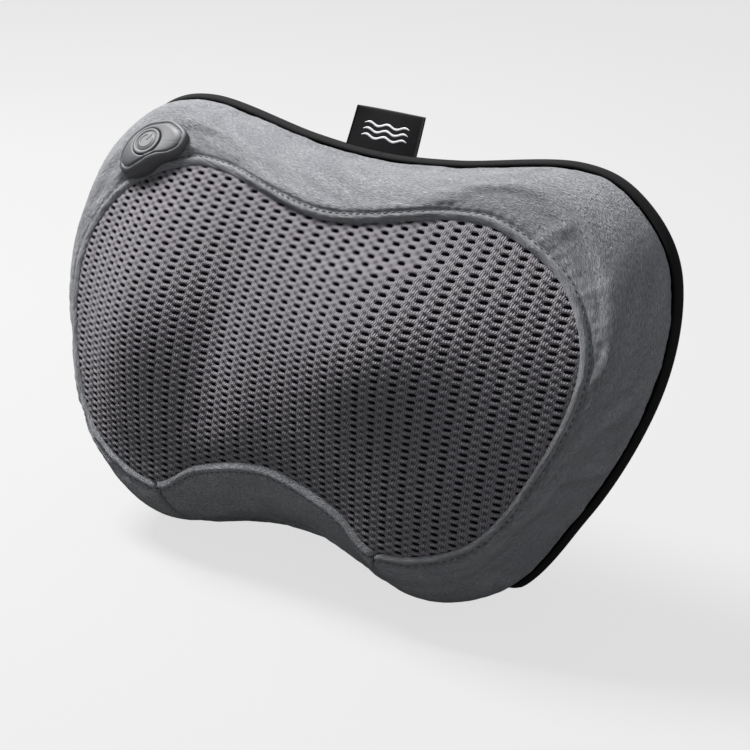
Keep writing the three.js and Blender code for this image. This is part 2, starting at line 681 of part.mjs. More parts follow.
function armGeometry() {
  const arm = new THREE.Shape();
  const waist = 12;
  const tip = 11;
  arm.absarc(NODE_ORBIT, 0, tip, -Math.PI / 2, Math.PI / 2, false);
  arm.quadraticCurveTo(NODE_ORBIT / 2, waist - 3, 0, waist);
  arm.quadraticCurveTo(-NODE_ORBIT / 2, waist - 3, -NODE_ORBIT, tip);
  arm.absarc(-NODE_ORBIT, 0, tip, Math.PI / 2, Math.PI * 1.5, false);
  arm.quadraticCurveTo(-NODE_ORBIT / 2, 3 - waist, 0, -waist);
  arm.quadraticCurveTo(NODE_ORBIT / 2, 3 - waist, NODE_ORBIT, -tip);
  let body = solid(slab(arm, armLow, armHigh));
  body = body.subtract(solid(rod(SHAFT_RADIUS + RUNNING, 0, 60)));
  for (const end of [-1, 1]) {
    body = body.subtract(solid(moved(rod(PIN_RADIUS + RUNNING, 0, 60), end * NODE_ORBIT, 0, 0)));
  }
  return geometryOf(body);
}

function nodeGeometry(radius, top) {
  const boreTop = top - 7;
  const bore = PIN_RADIUS + RUNNING;
  const middle = nodeLow + (top - nodeLow) * 0.42;
  const profile = [[bore, nodeLow], [radius * 0.5, nodeLow], [radius * 0.82, nodeLow + 3]];
  const steps = 6;
  for (let step = 0; step <= steps; step += 1) {
    const angle = (Math.PI / 2) * step / steps;
    profile.push([radius * Math.cos(angle), middle + (top - middle) * Math.sin(angle)]);
  }
  profile[profile.length - 1][0] = 0;
  profile.push([0, boreTop], [bore, boreTop], [bore, nodeLow]);
  return turned(profile, 20);
}

function addRotors() {
  for (const [name, side] of sides) {
    const axis = new THREE.Group();
    axis.position.set(side * rotorX, MECHANISM_Y, 0);
    pillow.add(axis);
    const rearSeat = trayFloor + 0.6;
    const bushTop = trayFloor + 5.2;
    place(`shaft_bush_${name}`, ring(SHAFT_RADIUS + RUNNING, BUSH_RADIUS, rearSeat, bushTop),
      'brass', axis);
    const bushLow = plateTop - 5;
    place(`front_bush_${name}`, ring(SHAFT_RADIUS + RUNNING, BUSH_RADIUS, bushLow, plateTop + 1),
      'brass', axis);
    place(`output_shaft_${name}`, rod(SHAFT_RADIUS, rearSeat + 0.3, armHigh), 'steel', axis);
    const turnedArm = new THREE.Group();
    turnedArm.rotation.z = THREE.MathUtils.degToRad(side * ARM_ANGLE);
    axis.add(turnedArm);
    place(`rotor_arm_${name}`, armGeometry(), 'white_plastic', turnedArm);
    const capLow = armHigh + RUNNING;
    const cap = turned([[0, capLow], [9, capLow], [9, capLow + 1.5], [5, capLow + 4],
      [0, capLow + 4]], 20);
    place(`rotor_cap_${name}`, cap, 'dark_plastic', turnedArm);
    const kinds = [['outer', side, NODE_RADIUS, NODE_TOP],
      ['inner', -side, SMALL_NODE_RADIUS, NODE_TOP - 4]];
    for (const [kind, direction, radius, top] of kinds) {
      const x = direction * NODE_ORBIT;
      const pinTop = top - 7 - 0.5;
      const flange = armLow - RUNNING;
      const pin = turned([[0, flange - 1.2], [6, flange - 1.2], [6, flange], [PIN_RADIUS, flange],
        [PIN_RADIUS, pinTop], [0, pinTop]], 20);
      place(`node_pin_${kind}_${name}`, moved(pin, x, 0, 0), 'steel', turnedArm);
      const node = nodeGeometry(radius, top);
      place(`massage_node_${kind}_${name}`, moved(node, x, 0, 0), 'node_plastic', turnedArm);
    }
  }
}

// ---------------------------------------------------------------- electrics
const JACK_INNER = -2;

function addElectrics() {
  const lampLow = plateTop + RUNNING;
  const cup = turned([[0, lampLow], [8, lampLow], [10, lampLow + 8], [8.6, lampLow + 8],
    [6.8, lampLow + 1.6], [0, lampLow + 1.6]], 28);
  place('heat_lamp_cup', moved(cup, 0, MECHANISM_Y, 0), 'steel');
  const lens = turned([[0, lampLow + 3], [6.4, lampLow + 3], [7.4, lampLow + 7.2],
    [5, lampLow + 9.6], [0, lampLow + 10.6]], 28);
  place('heat_lamp_lens', moved(lens, 0, MECHANISM_Y, 0), 'red_lens');

  const boardY = MECHANISM_Y + 5;
  const boardHalf = rotorX - WHEEL_RADIUS - 6;
  const board = slab(roundedOutline(boardHalf, 15, 2, 0, boardY), trayFloor + 1, trayFloor + 2.6);
  place('control_board', board, 'circuit');

  const cellY = MECHANISM_Y + HOUSING_HALF_HEIGHT - HOUSING_WALL - CELL_RADIUS - 3;
  for (const [name, side] of sides) {
    const half = CELL_LENGTH / 2;
    const cell = alongX(turned([[0, -half - 1], [3, -half - 1], [3, -half], [CELL_RADIUS - 0.6, -half],
      [CELL_RADIUS, -half + 0.6], [CELL_RADIUS, half - 0.6], [CELL_RADIUS - 0.6, half], [0, half]], 24));
    if (side < 0) cell.rotateY(Math.PI);
    cell.translate(side * (half + 1.5), cellY, trayFloor + CELL_RADIUS + 1);
    place(`battery_cell_${name}`, cell, 'cell_sleeve');
  }

  const back = -GUSSET_DEPTH - BACK_CROWN;
  const shell = [[0, JACK_INNER], [JACK_BORE + 2, JACK_INNER], [JACK_BORE + 2, back - 0.4],
    [JACK_BORE + 4.5, back - 0.4], [JACK_BORE + 4.2, back - 2], [JACK_BORE, back - 2],
    [JACK_BORE, JACK_INNER - 2.5], [0, JACK_INNER - 2.5]];
  place('charging_socket', moved(turned(shell, 24), JACK_X, JACK_Y, 0), 'dark_plastic');
  const pinShape = rod(1.05, back + 1, JACK_INNER - 2.5 - RUNNING, 12);
  place('socket_pin', moved(pinShape, JACK_X, JACK_Y, 0), 'steel');
}

// ---------------------------------------------------------------- power button on its rubber patch
const PATCH_SHARE = 0.857;       // place along the outline, and up the wall
const PATCH_RISE = 0.635;
const PATCH_TILT = 16;           // the button looks this much further up than the wall does
const PATCH_FALL = 0.65;         // how far the patch's face follows the wall away from the button
const PATCH_LIFT = 0.7;          // above the knit-backed plush
const SWITCH_HOLE = 4;
const SWITCH_BAY = 9;
const SWITCH_DEPTH = 12;
const SWITCH_STEM = 4;
// Patch outline about the button: across the pillow, then up the patch
const PATCH_OUTLINE = [
  [-15.6, -14.1], [-9, -16.6], [0.4, -14.1], [5.6, -10.8], [11.4, -6.9], [18, -3.6], [23.2, 1.6],
  [22.6, 8.4], [12.9, 13.9], [6.3, 14.9], [-5.1, 12.7], [-12, 6.8], [-15.8, 0], [-17.4, -8],
];

// A frame on the wall: z out of the button's face, x across the pillow
function patchFrame() {
  const origin = settle(wallPoint(PATCH_SHARE, PATCH_RISE));
  const out = wallNormal(PATCH_SHARE, PATCH_RISE);
  const across = vec(out.z, 0, -out.x).normalize();
  out.applyAxisAngle(across, -THREE.MathUtils.degToRad(PATCH_TILT));
  const along = vec(1, 0).addScaledVector(out, -out.x).normalize();
  const side = out.clone().cross(along);
  return new THREE.Matrix4().makeBasis(along, side, out).setPosition(origin);
}

function placedAt(matrix, geometry) {
  return geometry.applyMatrix4(matrix);
}

// The wall's height over the button's plane, found from the wall itself
function wallSag(frame) {
  const inverse = frame.clone().invert();
  const samples = [];
  for (let column = -16; column <= 16; column += 1) {
    for (let row = -16; row <= 16; row += 1) {
      const share = PATCH_SHARE + column * 0.0026;
      const rise = PATCH_RISE + row * 0.026;
      if (rise > 0.03 && rise < 0.99) samples.push(wallPoint(share, rise).applyMatrix4(inverse));
    }
  }
  return (x, y) => {
    let weight = 0;
    let total = 0;
    for (const sample of samples) {
      const near = 1 / ((sample.x - x) ** 2 + (sample.y - y) ** 2 + 0.5) ** 3;
      weight += near;
      total += near * sample.z;
    }
    return total / weight;
  };
}

function addControls() {
  const frame = patchFrame();
  const sag = wallSag(frame);
  const corners = PATCH_OUTLINE.map(([x, y]) => vec(x, y));
  const outline = new THREE.CatmullRomCurve3(corners, true, 'catmullrom', 0.5);
  const count = 36;
  const hole = BUTTON_RADIUS + 0.5;
  let crest = 0;
  for (let number = 0; number < 24; number += 1) {
    const angle = number * Math.PI / 12;
    crest = Math.max(crest, sag(BUTTON_RADIUS * Math.cos(angle), BUTTON_RADIUS * Math.sin(angle)));
  }
  const low = crest + 0.3 + BUTTON_TRAVEL + 0.1;
  const high = low + BUTTON_THICKNESS;
  const rows = [];
  for (let number = 0; number < count; number += 1) {
    const edge = outline.getPoint(number / count);
    const inward = vec(edge.x, edge.y).setLength(hole);
    const at = (ratio) => {
      const point = inward.clone().lerp(edge, ratio);
      point.z = sag(point.x, point.y);
      return point;
    };
    const under = (ratio) => at(ratio).add(vec(0, 0, PATCH_LIFT));
    const over = (ratio, sunk) => {
      const point = at(ratio);
      return point.setZ(high - BUTTON_PROUD - sunk + point.z * PATCH_FALL * ratio);
    };
    rows.push([under(0), over(0, 0), over(0.5, 0), over(0.93, 0.2), over(1, 1.2), under(1), under(0.5)]);
  }
  place('button_patch', placedAt(frame, skin(rows, true, true)), 'rubber');

  const button = turned([[0, -2.4], [2.6, -2.4], [2.6, low], [BUTTON_RADIUS, low],
    [BUTTON_RADIUS, high - 0.8], [BUTTON_RADIUS - 0.8, high], [0, high]], 24);
  place('power_button', placedAt(frame, button), 'rubber');
  const switchTop = -2.4 - BUTTON_TRAVEL - 0.2;
  const shoulder = switchTop - SWITCH_STEM;
  const body = turned([[0, -SWITCH_DEPTH], [6, -SWITCH_DEPTH], [6, shoulder],
    [2, shoulder + 0.4], [2, switchTop], [0, switchTop]], 16);
  place('tact_switch', placedAt(frame, body), 'dark_plastic');
}

// ---------------------------------------------------------------- label and rear zip
// The height of the seam's top stretch at a place along the pillow
function seamAbove(x) {
  let nearest = outlinePoint(seamCurve, 0);
  for (let number = -60; number <= 60; number += 1) {
    const point = outlinePoint(seamCurve, number / 600);
    if (Math.abs(point.x - x) < Math.abs(nearest.x - x)) nearest = point;
  }
  return nearest.y;
}

function addTrim() {
  const foot = gussetBulge(LABEL_DEPTH / GUSSET_DEPTH) + GAP;
  const high = seamAbove(0) + foot + LABEL_HEIGHT;
  const rows = [];
  const bends = [0, 0.25, 0.5, 0.75, 1];
  for (let column = 0; column <= 8; column += 1) {
    const across = column / 8 - 0.5;
    const face = (side) => bends.map((bend) => {
      const low = seamAbove(LABEL_X + across * LABEL_WIDTH) + foot;
      const x = LABEL_X + across * LABEL_WIDTH + bend * LABEL_SHEAR;
      const wave = 1.2 * Math.sin(across * Math.PI) * bend;
      return vec(x, low + bend * (high - low), wave - LABEL_DEPTH + side * LABEL_THICKNESS / 2);
    });
    rows.push([...face(-1), ...face(1).reverse()]);
  }
  place('label_tag', skin(rows, false, true), 'black_fabric');

  const face = -GUSSET_DEPTH - BACK_CROWN - GAP;
  const tape = slab(roundedOutline(ZIP_LENGTH / 2 + 8, 12, 3, 0, ZIP_Y), face - 0.9, face);
  place('zip_tape', tape, 'black_fabric');
  const teethTop = face - 0.9 - RUNNING;
  const teeth = slab(roundedOutline(ZIP_LENGTH / 2, 2.4, 1, 0, ZIP_Y), teethTop - 1.4, teethTop);
  place('zip_teeth', teeth, 'dark_plastic');
  const sliderTop = teethTop - 1.4 - RUNNING;
  const start = -ZIP_LENGTH / 2 + 9;
  const slider = slab(roundedOutline(6, 4.5, 2, start, ZIP_Y), sliderTop - 2.2, sliderTop);
  const pivot = sliderTop - 2.2 - ZIP_EAR;
  let body = solid(slider);
  for (const side of [-1, 1]) {
    const lug = new THREE.BoxGeometry(LUG_WIDTH, 2.4, ZIP_EAR + 1.4);
    lug.translate(start + side * LUG_X, ZIP_Y, pivot + (ZIP_EAR - 0.6) / 2);
    body = body.add(solid(lug));
  }
  const eye = alongX(rod(0.8, -LUG_X - 2, LUG_X + 2, 12)).translate(start, ZIP_Y, pivot);
  body = body.subtract(solid(eye));
  place('zip_slider', geometryOf(body), 'steel');
  const pull = new THREE.Group();
  pull.position.set(start, ZIP_Y, pivot);
  pull.rotation.x = lean;
  pillow.add(pull);
  const outline = roundedOutline(3.5, 9, 1.2, 0, -12);
  outline.holes.push(roundedOutline(1.4, 3, 0.8, 0, -16));
  const neck = roundedOutline(LUG_X - LUG_WIDTH / 2 - RUNNING, 2.6, 0.8, 0, -1.5);
  let tab = solid(slab(outline, -0.5, 0.5)).add(solid(slab(neck, -0.5, 0.5)));
  const bar = alongX(rod(0.45, -LUG_X - 0.8, LUG_X + 0.8, 12));
  tab = tab.add(solid(bar));
  place('zip_pull', geometryOf(tab), 'steel', pull);
}

addCovers();
addFoam();
addHousing();
addDrive();
addRotors();
addElectrics();
addControls();
addTrim();

// ---------------------------------------------------------------- stand the pillow on the surface
pillow.rotation.x = Math.PI / 2 - lean;
pillow.updateMatrixWorld(true);
const extent = new THREE.Box3().setFromObject(pillow, true);
const middle = extent.getCenter(new THREE.Vector3());
pillow.position.set(-middle.x, -middle.y, -extent.min.z);

const group = new THREE.Group();
group.add(pillow);
group.updateMatrixWorld(true);

export default group;
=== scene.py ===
# %% [markdown]
# # Neck massage pillow
# A leaning pillow with two lobes. A grey velour cover runs from a black rear band to an oval of knitted
# spacer mesh, and four massage heads turn behind that mesh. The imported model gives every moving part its
# place, and this notebook adds the fabrics, the seams, the stitching and the finishes.

# %% Load the frame
import json
import math

import bpy
import numpy as np
from mathutils import Matrix, Vector


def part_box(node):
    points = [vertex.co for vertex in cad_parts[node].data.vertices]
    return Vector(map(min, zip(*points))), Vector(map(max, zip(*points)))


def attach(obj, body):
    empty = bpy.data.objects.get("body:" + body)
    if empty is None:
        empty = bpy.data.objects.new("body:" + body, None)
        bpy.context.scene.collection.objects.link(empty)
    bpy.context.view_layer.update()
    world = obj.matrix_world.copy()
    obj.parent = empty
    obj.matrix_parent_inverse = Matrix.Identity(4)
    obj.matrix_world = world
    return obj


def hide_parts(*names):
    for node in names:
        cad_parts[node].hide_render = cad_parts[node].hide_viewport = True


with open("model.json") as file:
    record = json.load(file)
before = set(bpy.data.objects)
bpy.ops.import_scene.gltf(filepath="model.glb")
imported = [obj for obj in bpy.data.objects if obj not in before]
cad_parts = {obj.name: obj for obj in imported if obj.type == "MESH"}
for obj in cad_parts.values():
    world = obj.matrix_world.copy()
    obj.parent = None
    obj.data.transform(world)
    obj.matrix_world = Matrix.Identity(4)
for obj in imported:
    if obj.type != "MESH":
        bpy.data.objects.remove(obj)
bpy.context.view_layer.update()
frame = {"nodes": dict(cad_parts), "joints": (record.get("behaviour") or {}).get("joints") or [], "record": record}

# %% [markdown]
# ## Sketch frame
# The pillow leans back, so its pieces are drawn in its own frame: x along the pillow, y up its back and
# z out of its front, in millimetres. The two massage axes give that frame exactly, because both are square
# to the pillow's back and stand a known distance from its centre.

# %% Sketch frame
MM = 0.001
AXIS_DROP = 3.0      # the massage axes pass this far below the pillow's centre
AXIS_FRONT = 3.0     # and the joints' own points lie this far in front of the sketch plane

joints = {joint["name"]: joint for joint in frame["joints"]}
left_axis, right_axis = joints["left_rotor_spin"], joints["right_rotor_spin"]
OUT = np.array(left_axis["axis"], float)
ALONG = np.array([1.0, 0.0, 0.0])
UP = np.cross(OUT, ALONG)
middle = (np.array(left_axis["pos_m"]) + np.array(right_axis["pos_m"])) / 2
ORIGIN = middle + (UP * AXIS_DROP - OUT * AXIS_FRONT) * MM
ROTOR_X = right_axis["pos_m"][0] / MM


def to_world(points):
    """Sketch points in millimetres to the row frame in metres."""
    points = np.asarray(points, float)
    return ORIGIN + (points @ np.array([ALONG, UP, OUT])) * MM


def to_sketch(point):
    """A point of the row frame in metres to the sketch frame in millimetres."""
    away = (np.asarray(point, float) - ORIGIN) / MM
    return np.array([away @ ALONG, away @ UP, away @ OUT])


FLOOR = -ORIGIN[2] / MM          # height of the table in the sketch's lean
LEAN_UP, LEAN_OUT = UP[2], OUT[2]
print("pillow centre", ORIGIN.round(4), "lean", round(math.degrees(math.asin(LEAN_OUT)), 2))

# %% [markdown]
# ## Camera
# A long lens from the right and a little above shows the front, the right end and the top edge at once.
# The camera is made first, so that each piece can be looked at as soon as it exists.

# %% Camera
AZIMUTH, ELEVATION = math.radians(34.18), math.radians(22.29)
DISTANCE = 0.998
LENS = 93.56

back = Vector((math.sin(AZIMUTH) * math.cos(ELEVATION), -math.cos(AZIMUTH) * math.cos(ELEVATION),
               math.sin(ELEVATION)))
right = Vector((math.cos(AZIMUTH), math.sin(AZIMUTH), 0))
camera = bpy.data.objects.new("camera", bpy.data.cameras.new("camera"))
bpy.context.scene.collection.objects.link(camera)
camera.data.lens = LENS
camera.data.sensor_width = 36
camera.data.shift_x = 0.0202
camera.data.shift_y = -0.0380
turn = Matrix((right, back.cross(right), back)).transposed().to_4x4()
camera.matrix_world = Matrix.Translation(Vector(ORIGIN) + back * DISTANCE) @ turn
bpy.context.scene.camera = camera
print("camera at", [round(value, 3) for value in camera.location])

# %% [markdown]
# ## Table and light
# A pale table without an edge, one soft light high on the left, a weak one from the right, and an even
# surround. The main light only grazes the panel, so every swelling of the mesh has a lit and a dark side.

# %% Table and light
def add_object(name, data):
    made = bpy.data.objects.new(name, data)
    bpy.context.scene.collection.objects.link(made)
    return made


def soft_light(name, towards, distance, size, power, colour=(1, 1, 1)):
    """An area light that looks at the pillow's centre from the direction given."""
    lamp = bpy.data.lights.new(name, "AREA")
    lamp.shape = "DISK"
    lamp.size = size
    lamp.energy = power
    lamp.color = colour
    place = Vector(towards).normalized() * distance
    made = add_object(name, lamp)
    made.location = Vector(ORIGIN) + place
    made.rotation_mode = "QUATERNION"
    made.rotation_quaternion = (-place).to_track_quat("-Z", "Y")
    return made


soft_light("key_light", (-0.70, -0.02, 1.0), 1.35, 0.5, 46, (1.0, 0.99, 0.985))
soft_light("fill_light", (0.9, -0.7, 0.25), 2.2, 1.2, 5.0)

world = bpy.data.worlds.new("studio")
bpy.context.scene.world = world
world.use_nodes = True
world.node_tree.nodes["Background"].inputs["Color"].default_value = (0.94, 0.96, 1.0, 1)
world.node_tree.nodes["Background"].inputs["Strength"].default_value = 0.38
bpy.context.scene.view_settings.view_transform = "Standard"

# %% [markdown]
# ## Helpers for meshes
# Fabric pieces are grids of points swept round an outline, so one helper joins rows of points into a
# skin. Each vertex also keeps its place on the flat cloth, in millimetres, in an attribute called
# `cloth`: the weave and the pile are drawn in that, so they follow the fabric and not the room.

# %% Helpers for meshes
def grid_faces(rows, columns, loop_rows=False, loop_columns=False):
    """Quads of a grid of rows x columns points; either way can close on itself."""
    row = np.arange(rows if loop_rows else rows - 1)[:, None]
    column = np.arange(columns if loop_columns else columns - 1)[None, :]
    next_row, next_column = (row + 1) % rows, (column + 1) % columns
    corners = [row * columns + column, row * columns + next_column,
               next_row * columns + next_column, next_row * columns + column]
    return np.stack([np.broadcast_to(c, corners[0].shape) for c in corners], -1).reshape(-1, 4)


def outward(points, faces):
    """The same faces, turned so that they face out of the solid they close."""
    corner = np.asarray(points)[faces]
    volume = (corner[:, 0] * np.cross(corner[:, 1], corner[:, 2])).sum()
    volume += (corner[:, 0] * np.cross(corner[:, 2], corner[:, -1])).sum()
    return faces if volume > 0 else faces[:, ::-1]


def add_mesh(name, points, faces, cloth=None, smooth=True):
    """A mesh object from sketch points in millimetres, with its flat-cloth places if given."""
    mesh = bpy.data.meshes.new(name)
    mesh.from_pydata(to_world(points).tolist(), [], [list(map(int, face)) for face in faces])
    mesh.polygons.foreach_set("use_smooth", [smooth] * len(mesh.polygons))
    if cloth is not None:
        flat = mesh.attributes.new("cloth", "FLOAT_VECTOR", "POINT")
        flat.data.foreach_set("vector", np.asarray(cloth, np.float32).ravel())
    mesh.validate()
    mesh.update()
    return add_object(name, mesh)


def finish_piece(piece, material, body="pillow", stands_for=()):
    """Gives a piece its material and its body, and hides the solids it stands for."""
    piece.data.materials.clear()
    piece.data.materials.append(material)
    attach(piece, body)
    if stands_for:
        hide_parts(*stands_for)
    print(piece.name, len(piece.data.vertices), "points", len(piece.data.polygons), "faces")
    return piece


def soft_noise(x, y, seed):
    """Smooth seeded noise from -1 to 1, with hills about one unit wide."""
    table = np.random.default_rng(seed).uniform(-1, 1, (256, 256))
    column, row = np.floor(x).astype(int), np.floor(y).astype(int)
    across, up = x - column, y - row
    across, up = across * across * (3 - 2 * across), up * up * (3 - 2 * up)
    near, far = column % 256, (column + 1) % 256
    low, high = row % 256, (row + 1) % 256
    bottom = table[near, low] * (1 - across) + table[far, low] * across
    top = table[near, high] * (1 - across) + table[far, high] * across
    return bottom * (1 - up) + top * up


# %% [markdown]
# ## Helpers for materials
# An effect that several finishes share is a node group with named sockets. These two functions keep the
# node code short: one adds a node with its settings and inputs, the other makes an empty group.

# %% Helpers for materials
def node(tree, kind, inputs=(), **settings):
    """A node whose inputs are numbers, colours or the outputs of other nodes."""
    made = tree.nodes.new(kind)
    for key, value in settings.items():
        setattr(made, key, value)
    for key, value in inputs.items() if isinstance(inputs, dict) else enumerate(inputs):
        if isinstance(value, bpy.types.NodeSocket):
            tree.links.new(value, made.inputs[key])
        elif value is not None:
            made.inputs[key].default_value = value
    return made


def calculate(tree, operation, *values):
    return node(tree, "ShaderNodeMath", values, operation=operation).outputs[0]


def calculate_vector(tree, operation, *values):
    return node(tree, "ShaderNodeVectorMath", values, operation=operation).outputs[0]


def noise(tree, place, scale, detail=2.0, **settings):
    """A noise texture; underscores in the names of its settings stand for spaces."""
    inputs = {key.replace("_", " "): value for key, value in settings.items()}
    return node(tree, "ShaderNodeTexNoise", {"Vector": place, "Scale": scale, "Detail": detail, **inputs})


def remap(tree, value, low, high, to_low=0.0, to_high=1.0):
    """A value from one range to another, held at its ends."""
    return node(tree, "ShaderNodeMapRange", {"Value": value, "From Min": low, "From Max": high,
                                             "To Min": to_low, "To Max": to_high}).outputs[0]


def new_group(name, inputs, outputs):
    """An empty node group with named sockets, its input node and its output node."""
    tree = bpy.data.node_groups.new(name, "ShaderNodeTree")
    for label, kind, value in inputs:
        socket = tree.interface.new_socket(label, in_out="INPUT", socket_type=kind)
        if value is not None:
            socket.default_value = value
    for label, kind in outputs:
        tree.interface.new_socket(label, in_out="OUTPUT", socket_type=kind)
    return tree, tree.nodes.new("NodeGroupInput"), tree.nodes.new("NodeGroupOutput")


def use_group(tree, group, **inputs):
    """Places a group in a material; underscores in the names stand for spaces."""
    made = tree.nodes.new("ShaderNodeGroup")
    made.node_tree = group
    for key, value in inputs.items():
        label = key.replace("_", " ")
        if isinstance(value, bpy.types.NodeSocket):
            tree.links.new(value, made.inputs[label])
        else:
            made.inputs[label].default_value = value
    return made


def new_material(name, **settings):
    """A material with its Principled shader, whose plain values are set on its own sockets."""
    material = bpy.data.materials.new(name)
    material.use_nodes = True
    shader = material.node_tree.nodes["Principled BSDF"]
    for key, value in settings.items():
        shader.inputs[key.replace("_", " ")].default_value = value
    return material, material.node_tree, shader


def blend_colours(tree, mask, dark, light):
    """A colour between two, by a mask from 0 to 1."""
    mixed = node(tree, "ShaderNodeMix", data_type="RGBA")
    tree.links.new(mask, mixed.inputs["Factor"])
    mixed.inputs["A"].default_value = (*dark, 1)
    mixed.inputs["B"].default_value = (*light, 1)
    return mixed.outputs["Result"]


def add_bump(tree, shader, height, distance, strength=1.0):
    made = node(tree, "ShaderNodeBump", {"Height": height, "Distance": distance, "Strength": strength})
    tree.links.new(made.outputs[0], shader.inputs["Normal"])


def cloth_places(tree):
    return node(tree, "ShaderNodeAttribute", attribute_name="cloth").outputs["Vector"]


def solid_places(tree):
    """Places in the piece itself, in millimetres."""
    place = node(tree, "ShaderNodeTexCoord").outputs["Object"]
    return calculate_vector(tree, "MULTIPLY", place, (1 / MM,) * 3)


# %% [markdown]
# ## Shared effects
# Three effects serve most of the finishes. `pile` gives the streaks of brushed velour, `weave` the over
# and under of woven threads, and `moulded` the faint unevenness of moulded or machined surfaces.

# %% Pile effect
def make_pile():
    """Velour streaks: long thin tufts along the cloth, with wide brushed patches between them."""
    tree, source, result = new_group("pile", [
        ("Place", "NodeSocketVector", None),
        ("Tuft Length", "NodeSocketFloat", 4.0),
        ("Tuft Width", "NodeSocketFloat", 1.0),
        ("Patch Size", "NodeSocketFloat", 26.0),
    ], [("Tuft", "NodeSocketFloat"), ("Patch", "NodeSocketFloat"), ("Height", "NodeSocketFloat")])
    place = source.outputs["Place"]
    length = calculate(tree, "DIVIDE", 1.0, source.outputs["Tuft Length"])
    width = calculate(tree, "DIVIDE", 1.0, source.outputs["Tuft Width"])
    stretch = node(tree, "ShaderNodeCombineXYZ", [length, width, width]).outputs[0]
    bent = noise(tree, place, 0.06, 1.0).outputs["Color"]
    moved = calculate_vector(tree, "ADD", place, calculate_vector(tree, "MULTIPLY", bent, (6.0, 6.0, 0.0)))
    tufted = calculate_vector(tree, "MULTIPLY", moved, stretch)
    tuft = noise(tree, tufted, 1.0, 3.0, Roughness=0.62, Distortion=0.5).outputs[0]
    hair = noise(tree, calculate_vector(tree, "MULTIPLY", tufted, (2.1, 4.2, 3.0)), 1.0).outputs[0]
    spread = calculate(tree, "DIVIDE", 1.0, source.outputs["Patch Size"])
    sharp = remap(tree, tuft, 0.36, 0.66)
    wide = remap(tree, noise(tree, place, spread).outputs[0], 0.35, 0.65)
    fine = calculate(tree, "MULTIPLY", hair, 0.35)
    tree.links.new(sharp, result.inputs["Tuft"])
    tree.links.new(wide, result.inputs["Patch"])
    tree.links.new(calculate(tree, "ADD", sharp, fine), result.inputs["Height"])
    return tree


pile_group = make_pile()
print("group", pile_group.name, len(pile_group.nodes), "nodes")

# %% Weave effect
def make_weave():
    """Plain weave: two sets of threads that take turns on top."""
    tree, source, result = new_group("weave", [
        ("Place", "NodeSocketVector", None),
        ("Thread", "NodeSocketFloat", 0.5),
    ], [("Top", "NodeSocketFloat"), ("Height", "NodeSocketFloat")])
    part = node(tree, "ShaderNodeSeparateXYZ", [source.outputs["Place"]])
    waves = []
    for axis in ("X", "Y"):
        turns = calculate(tree, "DIVIDE", part.outputs[axis], source.outputs["Thread"])
        waves.append(calculate(tree, "SINE", calculate(tree, "MULTIPLY", turns, math.pi)))
    cross = calculate(tree, "MULTIPLY", waves[0], waves[1])
    top = remap(tree, cross, -1.0, 1.0)
    rough = noise(tree, source.outputs["Place"], 2.4, 3.0).outputs[0]
    height = calculate(tree, "ADD", top, calculate(tree, "MULTIPLY", rough, 0.6))
    tree.links.new(top, result.inputs["Top"])
    tree.links.new(height, result.inputs["Height"])
    return tree


weave_group = make_weave()
print("group", weave_group.name, len(weave_group.nodes), "nodes")

# %% Moulded effect
def make_moulded():
    """Faint unevenness of a moulded or machined skin, and small scuffs."""
    tree, source, result = new_group("moulded", [
        ("Place", "NodeSocketVector", None),
        ("Grain Size", "NodeSocketFloat", 0.5),
        ("Smooth", "NodeSocketFloat", 0.3),
        ("Rough", "NodeSocketFloat", 0.5),
    ], [("Roughness", "NodeSocketFloat"), ("Shade", "NodeSocketFloat"), ("Height", "NodeSocketFloat")])
    scale = calculate(tree, "DIVIDE", 1.0, source.outputs["Grain Size"])
    grain = noise(tree, source.outputs["Place"], scale).outputs[0]
    cloud = noise(tree, source.outputs["Place"], 0.09, 4.0).outputs[0]
    rough = remap(tree, cloud, 0.3, 0.7, source.outputs["Smooth"], source.outputs["Rough"])
    tree.links.new(rough, result.inputs["Roughness"])
    tree.links.new(cloud, result.inputs["Shade"])
    tree.links.new(grain, result.inputs["Height"])
    return tree


moulded_group = make_moulded()
print("group", moulded_group.name, len(moulded_group.nodes), "nodes")

# %% [markdown]
# ## Table finish
# The table is a seamless pale sheet, as in a product studio. A glow that only the camera sees keeps it
# pale right up to the contact shadow, without throwing light up under the pillow.

# %% Table
TABLE_GLOW = 0.70
TABLE_REACH, TABLE_LINES = 5.0, 21     # half the side in metres, and grid lines each way


def make_table():
    material, tree, shader = new_material("table_white", Roughness=0.9, Specular_IOR_Level=0.05)
    cloud = noise(tree, solid_places(tree), 0.004).outputs[0]
    colour = blend_colours(tree, cloud, (0.072, 0.072, 0.072), (0.078, 0.078, 0.078))
    tree.links.new(colour, shader.inputs["Base Color"])
    shader.inputs["Emission Color"].default_value = (1, 1, 1, 1)
    seen = node(tree, "ShaderNodeLightPath").outputs["Is Camera Ray"]
    tree.links.new(calculate(tree, "MULTIPLY", seen, TABLE_GLOW), shader.inputs["Emission Strength"])
    mesh = bpy.data.meshes.new("table_top")
    steps = np.linspace(-TABLE_REACH, TABLE_REACH, TABLE_LINES)
    points = [(x, y, 0.0) for y in steps for x in steps]
    mesh.from_pydata(points, [], grid_faces(TABLE_LINES, TABLE_LINES).tolist())
    mesh.materials.append(material)
    top = add_object("table_top", mesh)
    return top


table_top = make_table()
print("table", len(table_top.data.polygons), "faces")

# %% [markdown]
# ## The two outlines
# Everything on the pillow follows two closed curves: the rear seam, and the edge of the mesh panel. Each
# is given by the few points that its right half needs, as shares of the half width and of the height,
# and mirrored. A place on an outline is a share of its length, from the top centre round to the right.

